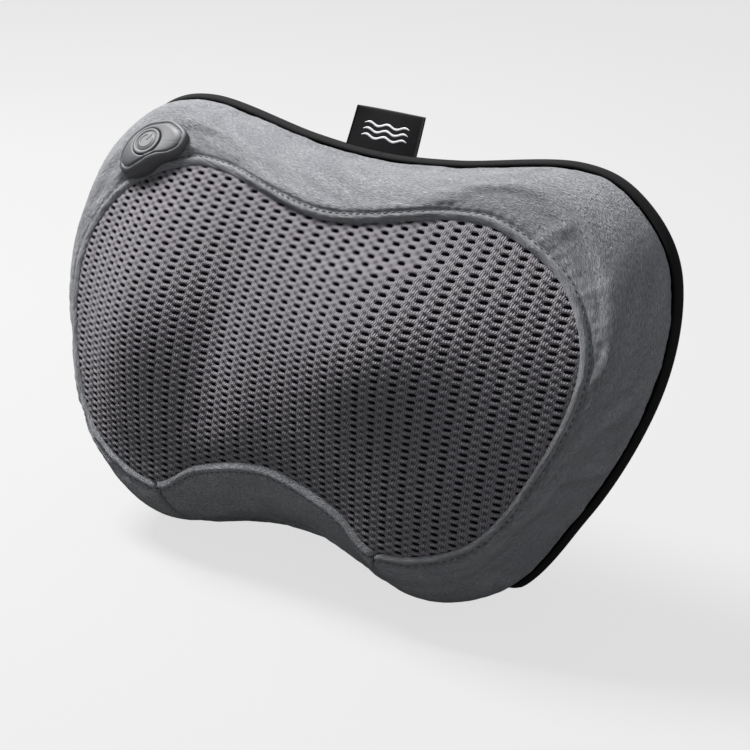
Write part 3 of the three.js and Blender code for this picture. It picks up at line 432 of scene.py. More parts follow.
# %% Outlines
HALF_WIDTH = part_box("front_cover")[1].x / MM
HEIGHT = 218.0
CURVE_STEPS = 80         # points between two corners of an outline
SEAM_SHAPE = [(0, 0.445), (0.264, 0.459), (0.656, 0.505), (0.865, 0.454), (1, 0.307), (0.988, 0.055),
              (0.816, -0.252), (0.54, -0.495), (0, -0.44)]
MESH_SHAPE = [(0, 0.321), (0.411, 0.376), (0.595, 0.362), (0.791, 0.28), (0.89, 0.128),
              (0.84, -0.073), (0.687, -0.271), (0.423, -0.344), (0.245, -0.271), (0, -0.229)]


def closed_loop(corners, count):
    """Points along a smooth closed curve through the corners, the same number between each two."""
    loop = np.array(corners, float)
    place = np.linspace(0, len(loop), count, endpoint=False)
    low = place.astype(int)
    t = (place - low)[:, None]
    a, b, c, d = (loop[(low + offset - 1) % len(loop)] for offset in range(4))
    bend = (2 * a - 5 * b + 4 * c - d) * t ** 2 + (3 * b - a - 3 * c + d) * t ** 3
    return 0.5 * (2 * b + (c - a) * t + bend)


def closed_curve(shares):
    """A smooth closed curve through mirrored points: its points, and each one's share of the length."""
    half = np.array(shares, float) * [HALF_WIDTH, HEIGHT]
    loop = np.vstack([half, half[-2:0:-1] * [-1, 1]])
    curve = np.vstack([closed_loop(loop, CURVE_STEPS * len(loop)), loop[:1]])
    length = np.concatenate([[0], np.cumsum(np.hypot(*np.diff(curve, axis=0).T))])
    return curve, length / length[-1], length[-1]


seam_curve, mesh_curve = closed_curve(SEAM_SHAPE), closed_curve(MESH_SHAPE)


def outline_at(curve, share):
    points, shares, _ = curve
    share = np.mod(share, 1.0)
    return np.stack([np.interp(share, shares, points[:, axis]) for axis in (0, 1)], -1)


def outline_normal(curve, share, step=1 / 400):
    along = outline_at(curve, share + step) - outline_at(curve, share - step)
    along /= np.linalg.norm(along, axis=-1, keepdims=True)
    return np.stack([-along[..., 1], along[..., 0]], -1)


print("seam length", round(seam_curve[2]), "mesh edge length", round(mesh_curve[2]))

# %% [markdown]
# ## The side wall
# The velour wall rises from the rear seam, leans in and rolls over to the mesh edge. Across, it is one
# cubic curve, so the whole wall is a function of two numbers: the share of the outline and the rise.
# Where it meets the table it flattens softly, as a filled pillow does.

# %% Side wall
FRONT_DEPTH = 66.0
SHOULDER_RISE = 1.055     # the wall's highest roll, as a share of its depth at the mesh edge


def edge_depth(x, y):
    """Depth of the mesh edge: it falls away towards the top and the ends."""
    across, up = x / 100, y / 100
    return FRONT_DEPTH - 5.4 * across ** 2 - 22.4 * up - 11.5 * up ** 2


def settle(points, lift=0.0, softness=1.2):
    """Lifts what would be below the table, with a soft bend where the contact starts."""
    points = np.array(points, float)
    above = points[..., 1] * LEAN_UP + points[..., 2] * LEAN_OUT - FLOOR - lift
    soft = softness * np.logaddexp(0, above / softness)
    points[..., 1] += (soft - above) / LEAN_UP
    return points


def wall(share, rise):
    """The wall before it settles; share and rise are arrays of one shape."""
    seam, edge = outline_at(seam_curve, share), outline_at(mesh_curve, share)
    depth = edge_depth(edge[..., 0], edge[..., 1])[..., None]
    shoulder = edge + 6.0 * outline_normal(mesh_curve, share)
    corners = [np.concatenate([flat, depth * height], -1) for flat, height in
               ((seam, 0.0), (seam, 0.8), (shoulder, SHOULDER_RISE), (edge, 1.0))]
    rise = np.asarray(rise)[..., None]
    return ((1 - rise) ** 3 * corners[0] + 3 * (1 - rise) ** 2 * rise * corners[1]
            + 3 * (1 - rise) * rise ** 2 * corners[2] + rise ** 3 * corners[3])


def smooth_step(values):
    """Values held between 0 and 1, with a smooth start and end."""
    held = np.clip(values, 0, 1)
    return held * held * (3 - 2 * held)


def unit(vectors):
    return vectors / np.maximum(np.linalg.norm(vectors, axis=-1, keepdims=True), 1e-9)


def grid_normals(points):
    """Normals of a grid of points, out of the pillow."""
    return unit(np.cross(np.gradient(points, axis=1), np.gradient(points, axis=0)))


print("wall at the top centre", wall(np.array([0.0]), np.array([1.0])).round(1))

# %% [markdown]
# ## Place of the switch patch
# The rubber patch with the power button lies on the top left of the wall and looks further up than the
# wall does, so the plush under its lower side is padded up to meet it. The button's joint gives its aim.

# %% Patch frame
PATCH_SHARE, PATCH_RISE = 0.857, 0.635
PATCH_FALL, PATCH_DROP = 0.9, 1.2      # how far the patch follows the wall, and comes down to it
PATCH_REACH, PATCH_PROUD = 20.0, 2.0   # where it has come down, and its lip's height over the plush
BED_REACH, BED_FULL, BED_HOLE = 36.0, 18.0, 10.0     # where the padding ends, is full and starts
BED_LIFT, BED_BEHIND = 6.0, 40.0       # its most, and how far off the patch's plane it looks for cover
BUTTON_RADIUS, BUTTON_THICKNESS, BUTTON_TRAVEL = 8.2, 2.9, 0.8
PATCH_HOLE = BUTTON_RADIUS + 0.45
BEAN = [(-15.6, -14.1), (-9, -16.6), (0.4, -14.1), (5.6, -10.8), (11.4, -6.9), (18, -3.6), (23.2, 1.6),
        (22.6, 8.4), (12.9, 13.9), (6.3, 14.9), (-5.1, 12.7), (-12, 6.8), (-15.8, 0), (-17.4, -8)]

patch_origin = settle(wall(np.array([PATCH_SHARE]), np.array([PATCH_RISE])), softness=0.01)[0]
press = np.array(joints["power_press"]["axis"], float)
patch_out = -np.array([press @ ALONG, press @ UP, press @ OUT])
patch_x = unit(np.array([1.0, 0, 0]) - patch_out * patch_out[0])
patch_y = np.cross(patch_out, patch_x)


def patch_place(points):
    """Places on the patch, x across the pillow and z out of the button, to the sketch frame."""
    return patch_origin + np.asarray(points, float) @ np.array([patch_x, patch_y, patch_out])


grid_share, grid_rise = np.meshgrid(PATCH_SHARE + np.arange(-20, 21) * 0.0022,
                                    PATCH_RISE + np.arange(-20, 21) * 0.021, indexing="ij")
usable = (grid_rise > 0.02) & (grid_rise < 0.995)
wall_samples = (wall(grid_share[usable], grid_rise[usable]) - patch_origin) @ np.array(
    [patch_x, patch_y, patch_out]).T


def wall_sag(x, y):
    """How far the wall stands over the button's plane at a place on it."""
    gap = (wall_samples[:, 0] - np.ravel(x)[:, None]) ** 2 + (wall_samples[:, 1] - np.ravel(y)[:, None]) ** 2
    near = 1 / (gap + 0.5) ** 3
    return ((near * wall_samples[:, 2]).sum(1) / near.sum(1)).reshape(np.shape(x))


turns = np.linspace(0, 2 * math.pi, 24, endpoint=False)
crest = max(0.0, float(wall_sag(BUTTON_RADIUS * np.cos(turns), BUTTON_RADIUS * np.sin(turns)).max()))
button_low = crest + 0.3 + BUTTON_TRAVEL + 0.1
button_top = button_low + BUTTON_THICKNESS
patch_top = button_top - 0.7
print("patch at", patch_origin.round(1), "facing", patch_out.round(2), "crest", round(crest, 2))


def patch_face(flat, sag):
    """Height of the patch's face: level round the button, then following the wall in part."""
    reach = np.hypot(flat[..., 0], flat[..., 1])
    share = np.clip((reach - PATCH_HOLE) / (PATCH_REACH - PATCH_HOLE), 0, 1)
    return patch_top + share * (PATCH_FALL * sag - PATCH_DROP)


def patch_bed(base):
    """How far the plush is pulled up round the patch, so that only the patch's lip stands proud."""
    local = (base - patch_origin) @ np.array([patch_x, patch_y, patch_out]).T
    reach = np.hypot(local[..., 0] - 2, local[..., 1] + 1)
    wanted = patch_face(local[..., :2], local[..., 2]) - PATCH_PROUD - local[..., 2]
    near = smooth_step((BED_REACH - reach) / (BED_REACH - BED_FULL))
    clear = smooth_step((reach - BED_HOLE) / 3.0)
    return np.where(np.abs(local[..., 2]) < BED_BEHIND, np.clip(wanted, 0, BED_LIFT) * near * clear, 0)


# %% [markdown]
# ## Filling the cover
# A stuffed cover swells between its seams and puckers beside them. The cloth solver finds that shape: a
# coarse copy of each stretch of cover is held at its seams and blown out a little. The moves are capped,
# and only their part out of the surface goes to the fine mesh, so the outline stays where the model has it.

# %% Filling the cover
ARCH_AT_SEAM, ARCH_AT_MESH = 0.066, 0.094     # the arch panel's reach, as shares of each outline
SWELL_CAP = 1.6                               # millimetres that a point may move
SOLVER_FRAMES = 20


def stretch_shares(start, end, stations, rises):
    """Shares for a stretch of wall whose ends slant; start and end give the share for a rise."""
    along = np.linspace(0, 1, stations)[:, None]
    return start(rises)[None, :] * (1 - along) + end(rises)[None, :] * along


def arch_reach(rise):
    return ARCH_AT_SEAM + (ARCH_AT_MESH - ARCH_AT_SEAM) * rise


def swell(name, start, end, stations, columns=15):
    """How far the cloth solver moves each point of a stretch of cover, as a coarse grid."""
    rises = np.linspace(0.0, 1.0, columns)
    share = stretch_shares(start, end, stations, rises)
    rest = settle(wall(share, np.broadcast_to(rises, share.shape)))
    piece = add_mesh(name + "_cloth", rest.reshape(-1, 3), grid_faces(stations, columns)[:, ::-1])
    held = piece.vertex_groups.new(name="held")
    edge = np.zeros((stations, columns), bool)
    edge[:, [0, -1]] = True
    edge[[0, -1], :] = True
    held.add([int(number) for number in np.flatnonzero(edge)], 1.0, "REPLACE")
    cloth = piece.modifiers.new("cloth", "CLOTH")
    settings = cloth.settings
    settings.vertex_group_mass = "held"
    settings.effector_weights.gravity = 0
    settings.use_pressure = True
    settings.uniform_pressure_force = 4
    settings.shrink_min = -0.012
    settings.tension_stiffness = settings.compression_stiffness = 12
    settings.bending_stiffness = 0.6
    cloth.point_cache.frame_start, cloth.point_cache.frame_end = 1, SOLVER_FRAMES
    for number in range(1, SOLVER_FRAMES + 1):
        bpy.context.scene.frame_set(number)
    shown = piece.evaluated_get(bpy.context.evaluated_depsgraph_get())
    moved = np.array([vertex.co for vertex in shown.data.vertices], float)
    move = ((moved - to_world(rest.reshape(-1, 3))) / MM) @ np.array([ALONG, UP, OUT]).T
    bpy.context.scene.frame_set(1)
    bpy.data.objects.remove(piece)
    size = np.linalg.norm(move, axis=-1, keepdims=True)
    move *= np.minimum(1, SWELL_CAP / np.maximum(size, 1e-9))
    print(name, "swells", round(float(size.max()), 1), "mm before the cap")
    return move.reshape(rest.shape)


def resample(grid, along, across):
    """A coarse grid of vectors read smoothly at fractions of its two sides."""
    def weights(fraction, count):
        place = np.clip(fraction, 0, 1) * (count - 1)
        low = np.minimum(place.astype(int), count - 2)
        t = place - low
        table = np.zeros((len(place), count))
        rows = np.arange(len(place))
        shape = [-0.5 * t + t ** 2 - 0.5 * t ** 3, 1 - 2.5 * t ** 2 + 1.5 * t ** 3,
                 0.5 * t + 2 * t ** 2 - 1.5 * t ** 3, -0.5 * t ** 2 + 0.5 * t ** 3]
        for offset, value in zip((-1, 0, 1, 2), shape):
            np.add.at(table, (rows, np.clip(low + offset, 0, count - 1)), value)
        return table
    first, second = weights(along, grid.shape[0]), weights(across, grid.shape[1])
    return np.einsum("ai,bj,ijk->abk", first, second, grid)


# %% [markdown]
# ## Velour cover
# The cover is a shell with a rolled hem at the mesh edge and a tucked one at the rear seam. Its profile is
# swept round the outline on a fine grid. The line of topstitching pulls a shallow groove with small
# puckers, and each end rolls down into the seam where the arch panel is sewn in.

# %% Velour cover
HEM_RADIUS = 0.5        # rolled edge beside the mesh
TUCK_RADIUS = 1.3       # rolled edge at the rear seam
SHELL = 2.6             # thickness of the velour and its wadding
STITCH_INSET = 5.6      # topstitching, measured from the rolled edge
SEAM_ROLL = 2.2         # how wide the cover rolls into a seam at its end
HEM_TURN = np.radians([22, 45, 68, 90, 115, 140, 165, 180])
TUCK_TURN = np.radians([150, 115, 85, 60, 38, 18])
COVER_STATIONS, ARCH_STATIONS, COVER_COLUMNS = 520, 96, 52


def cover_shape(start, end, stations, columns, seed):
    """Points of a stretch of cover, as a closed profile at each station, with flat-cloth places."""
    rises = np.linspace(0.0085, 1.0, columns)
    share = stretch_shares(start, end, stations, rises)
    rise = np.broadcast_to(rises, share.shape)
    base = wall(share, rise)
    base = settle(base)
    fraction = np.linspace(0, 1, stations)
    moved = resample(swell("cover%d" % seed, start, end, max(stations // 4, 12)), fraction, rises)
    blown = (moved * grid_normals(base)).sum(-1, keepdims=True)
    base = base + grid_normals(base) * blown * np.clip((1 - rises) / 0.22, 0, 1)[None, :, None]
    steps = np.linalg.norm(np.diff(base, axis=1), axis=-1)
    from_seam = np.concatenate([np.zeros((stations, 1)), np.cumsum(steps, 1)], 1)
    to_edge = from_seam[:, -1:] - from_seam
    run = np.linalg.norm(np.diff(base, axis=0), axis=-1)
    from_start = np.concatenate([np.zeros((1, columns)), np.cumsum(run, 0)], 0)
    to_end = from_start[-1:] - from_start
    normal = grid_normals(base)
    along = from_start.mean(1, keepdims=True)
    groove = -1.05 * np.exp(-((to_edge - STITCH_INSET) / 0.95) ** 2)
    pucker = 0.14 * np.sin(along * 2 * math.pi / 6.3 + 2 * soft_noise(along / 23, along * 0, seed))
    pucker = pucker * np.exp(-((to_edge - STITCH_INSET - 2.5) / 4.0) ** 2)
    lip = 0.8 * np.exp(-((to_edge - STITCH_INSET / 2) / 1.7) ** 2)
    bottom = 0.35 * soft_noise(along / 9, from_seam / 30, seed + 1) * np.exp(-from_seam / 12)
    drape = 0.35 * soft_noise(from_start / 42, from_seam / 30, seed + 2)
    drape = drape + 0.16 * soft_noise(from_start / 15, from_seam / 13, seed + 3)
    tufts = 0.14 * soft_noise(from_start / 2.9, from_seam / 1.9, seed + 4)
    offset = groove + pucker + lip + bottom + tufts
    offset = offset + patch_bed(base) * np.clip((to_edge - 6.5) / 4, 0, 1)
    offset = offset + drape * np.clip(to_edge / 14, 0, 1) * np.clip(from_seam / 14, 0, 1)
    nearest = np.minimum(from_start, to_end)
    offset = offset - SEAM_ROLL * (1 - np.sqrt(1 - np.clip(1 - nearest / SEAM_ROLL, 0, 1) ** 2))
    outer = base + normal * offset[..., None]
    return close_profile(outer, normal, from_start, from_seam)


def close_profile(outer, normal, from_start, from_seam):
    """Adds the rolled hems and the hidden inner side, so that each station is a closed loop."""
    tangent = unit(outer[:, -1] - outer[:, -3])
    facing = unit(normal[:, -1] - (normal[:, -1] * tangent).sum(-1, keepdims=True) * tangent)
    centre = outer[:, -1] - HEM_RADIUS * facing
    hem = [centre + HEM_RADIUS * (facing * math.cos(a) + tangent * math.sin(a)) for a in HEM_TURN]
    down = unit(outer[:, 0] - outer[:, 2])
    side = unit(normal[:, 0] - (normal[:, 0] * down).sum(-1, keepdims=True) * down)
    middle = outer[:, 0] - TUCK_RADIUS * side
    tuck = [middle + TUCK_RADIUS * (side * math.cos(a) + down * math.sin(a)) for a in TUCK_TURN]
    inner_columns = np.linspace(outer.shape[1] - 4, 3, 12).astype(int)
    inner = outer[:, inner_columns] - SHELL * normal[:, inner_columns]
    loops = np.concatenate([np.stack(tuck, 1), outer, np.stack(hem, 1), inner], 1)
    across = np.linalg.norm(np.diff(loops, axis=1), axis=-1).cumsum(1)
    across = np.concatenate([np.zeros((len(loops), 1)), across], 1)
    columns = np.concatenate([np.zeros(len(tuck), int), np.arange(outer.shape[1]),
                              np.full(len(hem), outer.shape[1] - 1), inner_columns])
    run = from_start[:, columns]
    cloth = np.stack([run, across, np.zeros_like(run)], -1)
    return settle(loops, 0.15, 0.5), cloth


def add_cover(name, start, end, stations, columns, seed):
    loops, cloth = cover_shape(start, end, stations, columns, seed)
    rows, across = loops.shape[:2]
    points = loops.reshape(-1, 3)
    faces = [list(face) for face in outward(points, grid_faces(rows, across, loop_columns=True))]
    first = list(range(across))
    last = list(range((rows - 1) * across, rows * across))
    flipped = faces[0][0] > faces[0][1] and faces[0][0] - faces[0][1] == 1
    faces += [first if flipped else first[::-1], last[::-1] if flipped else last]
    return add_mesh(name, points, faces, cloth.reshape(-1, 3))


ARCH_GAP = 0.0005       # as a share of the outline
velour_cover = add_cover(
    "velour_cover",
    lambda rise: 0.5 + arch_reach(rise) + ARCH_GAP,
    lambda rise: 1.5 - arch_reach(rise) - ARCH_GAP, COVER_STATIONS, COVER_COLUMNS, 11)
arch_cover = add_cover(
    "arch_cover",
    lambda rise: 0.5 - arch_reach(rise) + ARCH_GAP,
    lambda rise: 0.5 + arch_reach(rise) - ARCH_GAP, ARCH_STATIONS, COVER_COLUMNS, 29)

# %% [markdown]
# ## Velour finish
# Short-pile velour is pale where light rakes it and where it lies towards the light, and dark in the gaps
# between tufts. The pile group gives streaks and brushed patches; a sheen gives the soft pale rim.

# %% Velour finish
def make_velour():
    material, tree, shader = new_material("velour_grey", Roughness=0.95, Sheen_Weight=0.35,
                                          Sheen_Roughness=0.45, Specular_IOR_Level=0.1)
    shader.inputs["Sheen Tint"].default_value = (0.9, 0.93, 1.0, 1)
    pile = use_group(tree, pile_group, Place=cloth_places(tree), Tuft_Length=1.9, Tuft_Width=0.85,
                     Patch_Size=18.0)
    shade = calculate(tree, "MULTIPLY_ADD", pile.outputs["Tuft"], 0.80,
                      calculate(tree, "MULTIPLY", pile.outputs["Patch"], 0.20))
    colour = blend_colours(tree, shade, (0.110, 0.113, 0.120), (0.335, 0.340, 0.350))
    tree.links.new(colour, shader.inputs["Base Color"])
    add_bump(tree, shader, pile.outputs["Height"], 0.6 * MM, 1.0)
    return material


velour = make_velour()
finish_piece(velour_cover, velour, stands_for=["front_cover"])
finish_piece(arch_cover, velour, stands_for=["arch_panel"])

# %% [markdown]
# ## The shape of the mesh panel
# The panel is stretched over foam and over the four massage heads, so it is not one dome: it swells over
# each lobe and dips between them. A soap film under even pressure has the right rise near the edge, so
# the height is found by relaxing a grid, and the heads' broad swellings are added to it.

# %% Panel shape
GRID_STEP = 2.0
PANEL_DOME = 11.0
FILM_ROUNDS = 1600
rim = outline_at(mesh_curve, np.linspace(0, 1, 900, endpoint=False))


def rim_distance(x, y):
    """Distance inside the mesh outline, in millimetres: negative outside."""
    flat = np.stack([np.ravel(x), np.ravel(y)], -1)
    nearest = np.empty(len(flat))
    inside = np.zeros(len(flat), bool)
    ahead = np.roll(rim, -1, axis=0)
    for first in range(0, len(flat), 4000):
        part = flat[first:first + 4000]
        gap = part[:, None] - rim[None]
        nearest[first:first + 4000] = np.sqrt((gap ** 2).sum(-1).min(1))
        crosses = (rim[None, :, 1] > part[:, 1:]) != (ahead[None, :, 1] > part[:, 1:])
        run = (part[:, 1:] - rim[None, :, 1]) / (ahead - rim)[None, :, 1]
        at = rim[None, :, 0] + run * (ahead - rim)[None, :, 0]
        inside[first:first + 4000] = (crosses & (part[:, :1] < at)).sum(1) % 2 == 1
    return np.where(inside, nearest, -nearest).reshape(np.shape(x))


def film_height():
    """The even-pressure film over the outline, as a grid with its highest point at 1."""
    xs = np.arange(-152, 152.1, GRID_STEP)
    ys = np.arange(-84, 92.1, GRID_STEP)
    x, y = np.meshgrid(xs, ys, indexing="ij")
    inside = rim_distance(x, y) > 0
    height = np.zeros_like(x)
    for _ in range(FILM_ROUNDS):
        around = (np.roll(height, 1, 0) + np.roll(height, -1, 0)
                  + np.roll(height, 1, 1) + np.roll(height, -1, 1)) / 4
        height = np.where(inside, around + 0.01, 0)
    return xs, ys, height / height.max()


film_x, film_y, film = film_height()
SWELLINGS = [          # centre, half widths and height of each broad swelling over a lobe
    (-90, 12, 30, 46, 11.0),
    (-40, 6, 17, 50, -4.0),
    (50, 26, 46, 40, 16.0),
]


def read_grid(grid, x, y):
    column = np.clip((x - film_x[0]) / GRID_STEP, 0, len(film_x) - 1.001)
    row = np.clip((y - film_y[0]) / GRID_STEP, 0, len(film_y) - 1.001)
    i, j = column.astype(int), row.astype(int)
    s, t = column - i, row - j
    return ((grid[i, j] * (1 - s) + grid[i + 1, j] * s) * (1 - t)
            + (grid[i, j + 1] * (1 - s) + grid[i + 1, j + 1] * s) * t)


EDGE_SINK = 0.35       # the panel's edge lies this far below the cover's, under the rolled hem


def panel_height(x, y, inside):
    """Depth of the panel's face; inside is the distance from the rim."""
    slope = 0.42 * np.clip(inside, -3, 9)
    share = smooth_step(inside / 9)
    rise = slope * (1 - share) + PANEL_DOME * read_grid(film, x, y) * share
    ease = np.clip(inside / 22, 0, 1) ** 1.5
    for centre_x, centre_y, wide, tall, high in SWELLINGS:
        rise = rise + high * ease * np.exp(-((x - centre_x) / wide) ** 2 - ((y - centre_y) / tall) ** 2)
    return edge_depth(x, y) - EDGE_SINK + rise


print("film", film.shape, "grid")

# %% [markdown]
# ## Knitted mesh panel
# Spacer mesh is knitted with open ovals in straight columns, and between them shallow pockets where the
# second layer shows. The ovals are real holes here: each cell of the lattice is a small grid with its
# middle left out, the cut edge is pulled to an oval, and the rim is turned down to give the thickness.

# %% Knitted mesh panel
PITCH_X, PITCH_Y = 8.9, 3.4
OVAL_X, OVAL_Y = 2.3, 0.85        # half axes of a hole
POCKET_DEPTH = 0.5
KNIT_MARGIN = 2.6                  # how far the knit reaches out under the hem
QUILT = 0.38                       # how far the ribs between holes and pockets stand up
KNIT_THICKNESS = 1.9
CELL_COLUMNS, CELL_ROWS = 8, 4     # grid squares in a cell


def lattice_points(columns, rows):
    """Grid points of the lattice with each hole's edge pulled to its oval, in flat-cloth places."""
    i, j = np.meshgrid(np.arange(-columns, columns + 1), np.arange(-rows, rows + 1), indexing="ij")
    x, y = i * PITCH_X / CELL_COLUMNS, j * PITCH_Y / CELL_ROWS
    across = (i + CELL_COLUMNS // 2) % CELL_COLUMNS - CELL_COLUMNS // 2
    up = (j + CELL_ROWS // 2) % CELL_ROWS - CELL_ROWS // 2
    pulled = {(2, 0): (1.0, 0.0), (2, 1): (0.80, 0.60), (1, 1): (0.44, 0.90), (0, 1): (0.0, 1.0)}
    for (a, b), (share_x, share_y) in pulled.items():
        here = (np.abs(across) == a) & (np.abs(up) == b)
        centre_x, centre_y = x - across * PITCH_X / CELL_COLUMNS, y - up * PITCH_Y / CELL_ROWS
        x = np.where(here, centre_x + np.sign(across) * share_x * OVAL_X, x)
        y = np.where(here, centre_y + np.sign(up) * share_y * OVAL_Y, y)
    return i, j, x, y


def add_knit(name):
    columns, rows = 17 * CELL_COLUMNS, 26 * CELL_ROWS
    i, j, flat_x, flat_y = lattice_points(columns, rows)
    x = flat_x + 1.3 * np.sin(flat_y / 46) * np.sin(flat_x / 60)
    y = flat_y + 5.0 + 1.2 * np.sin(flat_x / 70)
    inside = rim_distance(x, y)
    cell_x, cell_y = (flat_x / PITCH_X + 0.5) % 1 - 0.5, (flat_y / PITCH_Y + 0.5) % 1 - 0.5
    pocket_x, pocket_y = (np.abs(cell_x) - 0.5) * PITCH_X, (np.abs(cell_y) - 0.5) * PITCH_Y
    pocket = np.exp(-(pocket_x / 2.0) ** 2 - (pocket_y / 0.85) ** 2)
    from_hole = np.hypot(cell_x * PITCH_X / OVAL_X, cell_y * PITCH_Y / OVAL_Y)
    rim_drop = 0.35 * np.exp(-np.maximum(from_hole - 1, 0) / 0.35)
    quilt = -QUILT * np.cos(flat_x * 2 * math.pi / PITCH_X) * np.cos(flat_y * 2 * math.pi / PITCH_Y)
    quilt = quilt * np.clip(inside / 3, 0, 1)
    z = panel_height(x, y, inside) - POCKET_DEPTH * pocket - rim_drop + quilt
    beyond = inside < -KNIT_MARGIN
    points = np.stack([x, y, z], -1)
    if beyond.any():
        outside = points[beyond]
        gap = outside[:, None, :2] - rim[None]
        nearest = (gap ** 2).sum(-1).argmin(1)
        pulled = rim[nearest] + unit(outside[:, :2] - rim[nearest]) * KNIT_MARGIN
        outside[:, :2] = pulled
        outside[:, 2] = panel_height(pulled[:, 0], pulled[:, 1], np.full(len(pulled), -KNIT_MARGIN))
        points[beyond] = outside
    size = points.shape[:2]
    faces = grid_faces(*size)
    cell_i, cell_j = i.ravel()[faces].mean(1), j.ravel()[faces].mean(1)
    middle_i = np.abs((cell_i + CELL_COLUMNS / 2) % CELL_COLUMNS - CELL_COLUMNS / 2) < 2
    middle_j = np.abs((cell_j + CELL_ROWS / 2) % CELL_ROWS - CELL_ROWS / 2) < 1
    hole = middle_i & middle_j
    kept = ~beyond.ravel()[faces].all(1)
    top = faces[kept & ~hole]
    lower = points - [0, 0, KNIT_THICKNESS]
    shift = points.shape[0] * points.shape[1]
    flat_points = np.concatenate([points.reshape(-1, 3), lower.reshape(-1, 3)])
    cloth = np.stack([flat_x, flat_y, np.zeros_like(flat_x)], -1).reshape(-1, 3)
    cloth = np.concatenate([cloth, cloth + [0, 0, -KNIT_THICKNESS]])
    edges = np.concatenate([top[:, [0, 1]], top[:, [1, 2]], top[:, [2, 3]], top[:, [3, 0]]])
    forward = set(map(tuple, edges.tolist()))
    border = [(a, b) for a, b in forward if (b, a) not in forward]
    walls = [(b, a, a + shift, b + shift) for a, b in sorted(border)]
    faces = [tuple(face) for face in top.tolist()] + [tuple(face[::-1]) for face in (top + shift).tolist()]
    faces += walls
    used = np.unique(np.array(faces).ravel())
    place = np.full(len(flat_points), -1)
    place[used] = np.arange(len(used))
    faces = place[np.array(faces)]
    corner = flat_points[used][faces[0]]
    if np.cross(corner[1] - corner[0], corner[2] - corner[0])[2] < 0:
        faces = faces[:, ::-1]
    return add_mesh(name, flat_points[used], faces, cloth[used])


knit_panel = add_knit("knit_panel")

# %% [markdown]
# ## Knit finish
# The yarn is a slightly glossy polyester. Fine strands run up the ribs between the columns of holes and
# sway round each hole. The raised ribs get a painted highlight in the colour, and the pockets get painted
# shade, since little light comes back out of them.

# %% Knit finish
def make_knit():
    material, tree, shader = new_material("knit_grey", Specular_IOR_Level=0.45, Sheen_Weight=0.1)
    part = node(tree, "ShaderNodeSeparateXYZ", [cloth_places(tree)])
    x, y = part.outputs["X"], part.outputs["Y"]
    row = calculate(tree, "MULTIPLY", y, 2 * math.pi / PITCH_Y)
    column = calculate(tree, "MULTIPLY", x, 2 * math.pi / PITCH_X)
    sway = calculate(tree, "MULTIPLY", calculate(tree, "SINE", row), 1.5)
    lean = calculate(tree, "MULTIPLY", calculate(tree, "SINE", column), sway)
    turns = calculate(tree, "MULTIPLY_ADD", x, 2 * math.pi / 1.11, lean)
    strand = calculate(tree, "MULTIPLY_ADD", calculate(tree, "SINE", turns), 0.5, 0.5)
    fuzz = remap(tree, noise(tree, cloth_places(tree), 1.3, 3.0, Roughness=0.8).outputs[0], 0.33, 0.67)
    height = calculate(tree, "MULTIPLY_ADD", strand, 0.9, calculate(tree, "MULTIPLY", fuzz, 0.6))
    row_wave, column_wave = calculate(tree, "COSINE", row), calculate(tree, "COSINE", column)
    # Painted highlight: the colour is lighter on the raised ribs between the holes and the pockets.
    rib_painted_highlight = remap(tree, calculate(tree, "MULTIPLY", row_wave, column_wave), 0.5, -1.0)
    # Painted shade: the colour is darker in the pockets between the columns of holes.
    pocket = remap(tree, column_wave, -0.55, -1.0)
    low = remap(tree, row_wave, 0.1, -0.8)
    dark = calculate(tree, "MULTIPLY", pocket, low)
    # Yarn tone from the strands and the fuzz, plus the painted rib highlight, minus the painted pocket shade.
    lit = calculate(tree, "MULTIPLY_ADD", strand, 0.42, calculate(tree, "MULTIPLY", fuzz, 0.36))
    lit = calculate(tree, "MULTIPLY_ADD", rib_painted_highlight, 0.22, lit)
    shade = calculate(tree, "SUBTRACT", lit, calculate(tree, "MULTIPLY", dark, 0.30))
    colour = blend_colours(tree, shade, (0.010, 0.009, 0.011), (0.330, 0.308, 0.342))
    tree.links.new(colour, shader.inputs["Base Color"])
    tree.links.new(remap(tree, strand, 0.0, 1.0, 0.7, 0.42), shader.inputs["Roughness"])
    add_bump(tree, shader, height, 0.6 * MM, 1.0)
    return material


knit_finish = make_knit()
finish_piece(knit_panel, knit_finish, stands_for=["mesh_panel"])

# %% [markdown]
# ## Black fabrics
# A black liner lies behind the mesh and makes the holes read dark. The rear band and the flat back are
# one woven polyester. They are plain sheets in real life; here each is a shell swept round the outline.

# %% Black woven finish
def make_woven(name, dark, light, thread, roughness=0.9, sheen=0.02, bump=0.12):
    material, tree, shader = new_material(name, Roughness=roughness, Sheen_Weight=sheen,
                                          Sheen_Roughness=0.5, Specular_IOR_Level=0.12)
    weave = use_group(tree, weave_group, Place=cloth_places(tree), Thread=thread)
    shade = calculate(tree, "MULTIPLY", weave.outputs["Height"], 0.62)
    tree.links.new(blend_colours(tree, shade, dark, light), shader.inputs["Base Color"])
    add_bump(tree, shader, weave.outputs["Height"], bump * MM, 0.9)
    return material


woven_black = make_woven("woven_black", (0.006, 0.006, 0.0065), (0.016, 0.016, 0.017), 0.55)

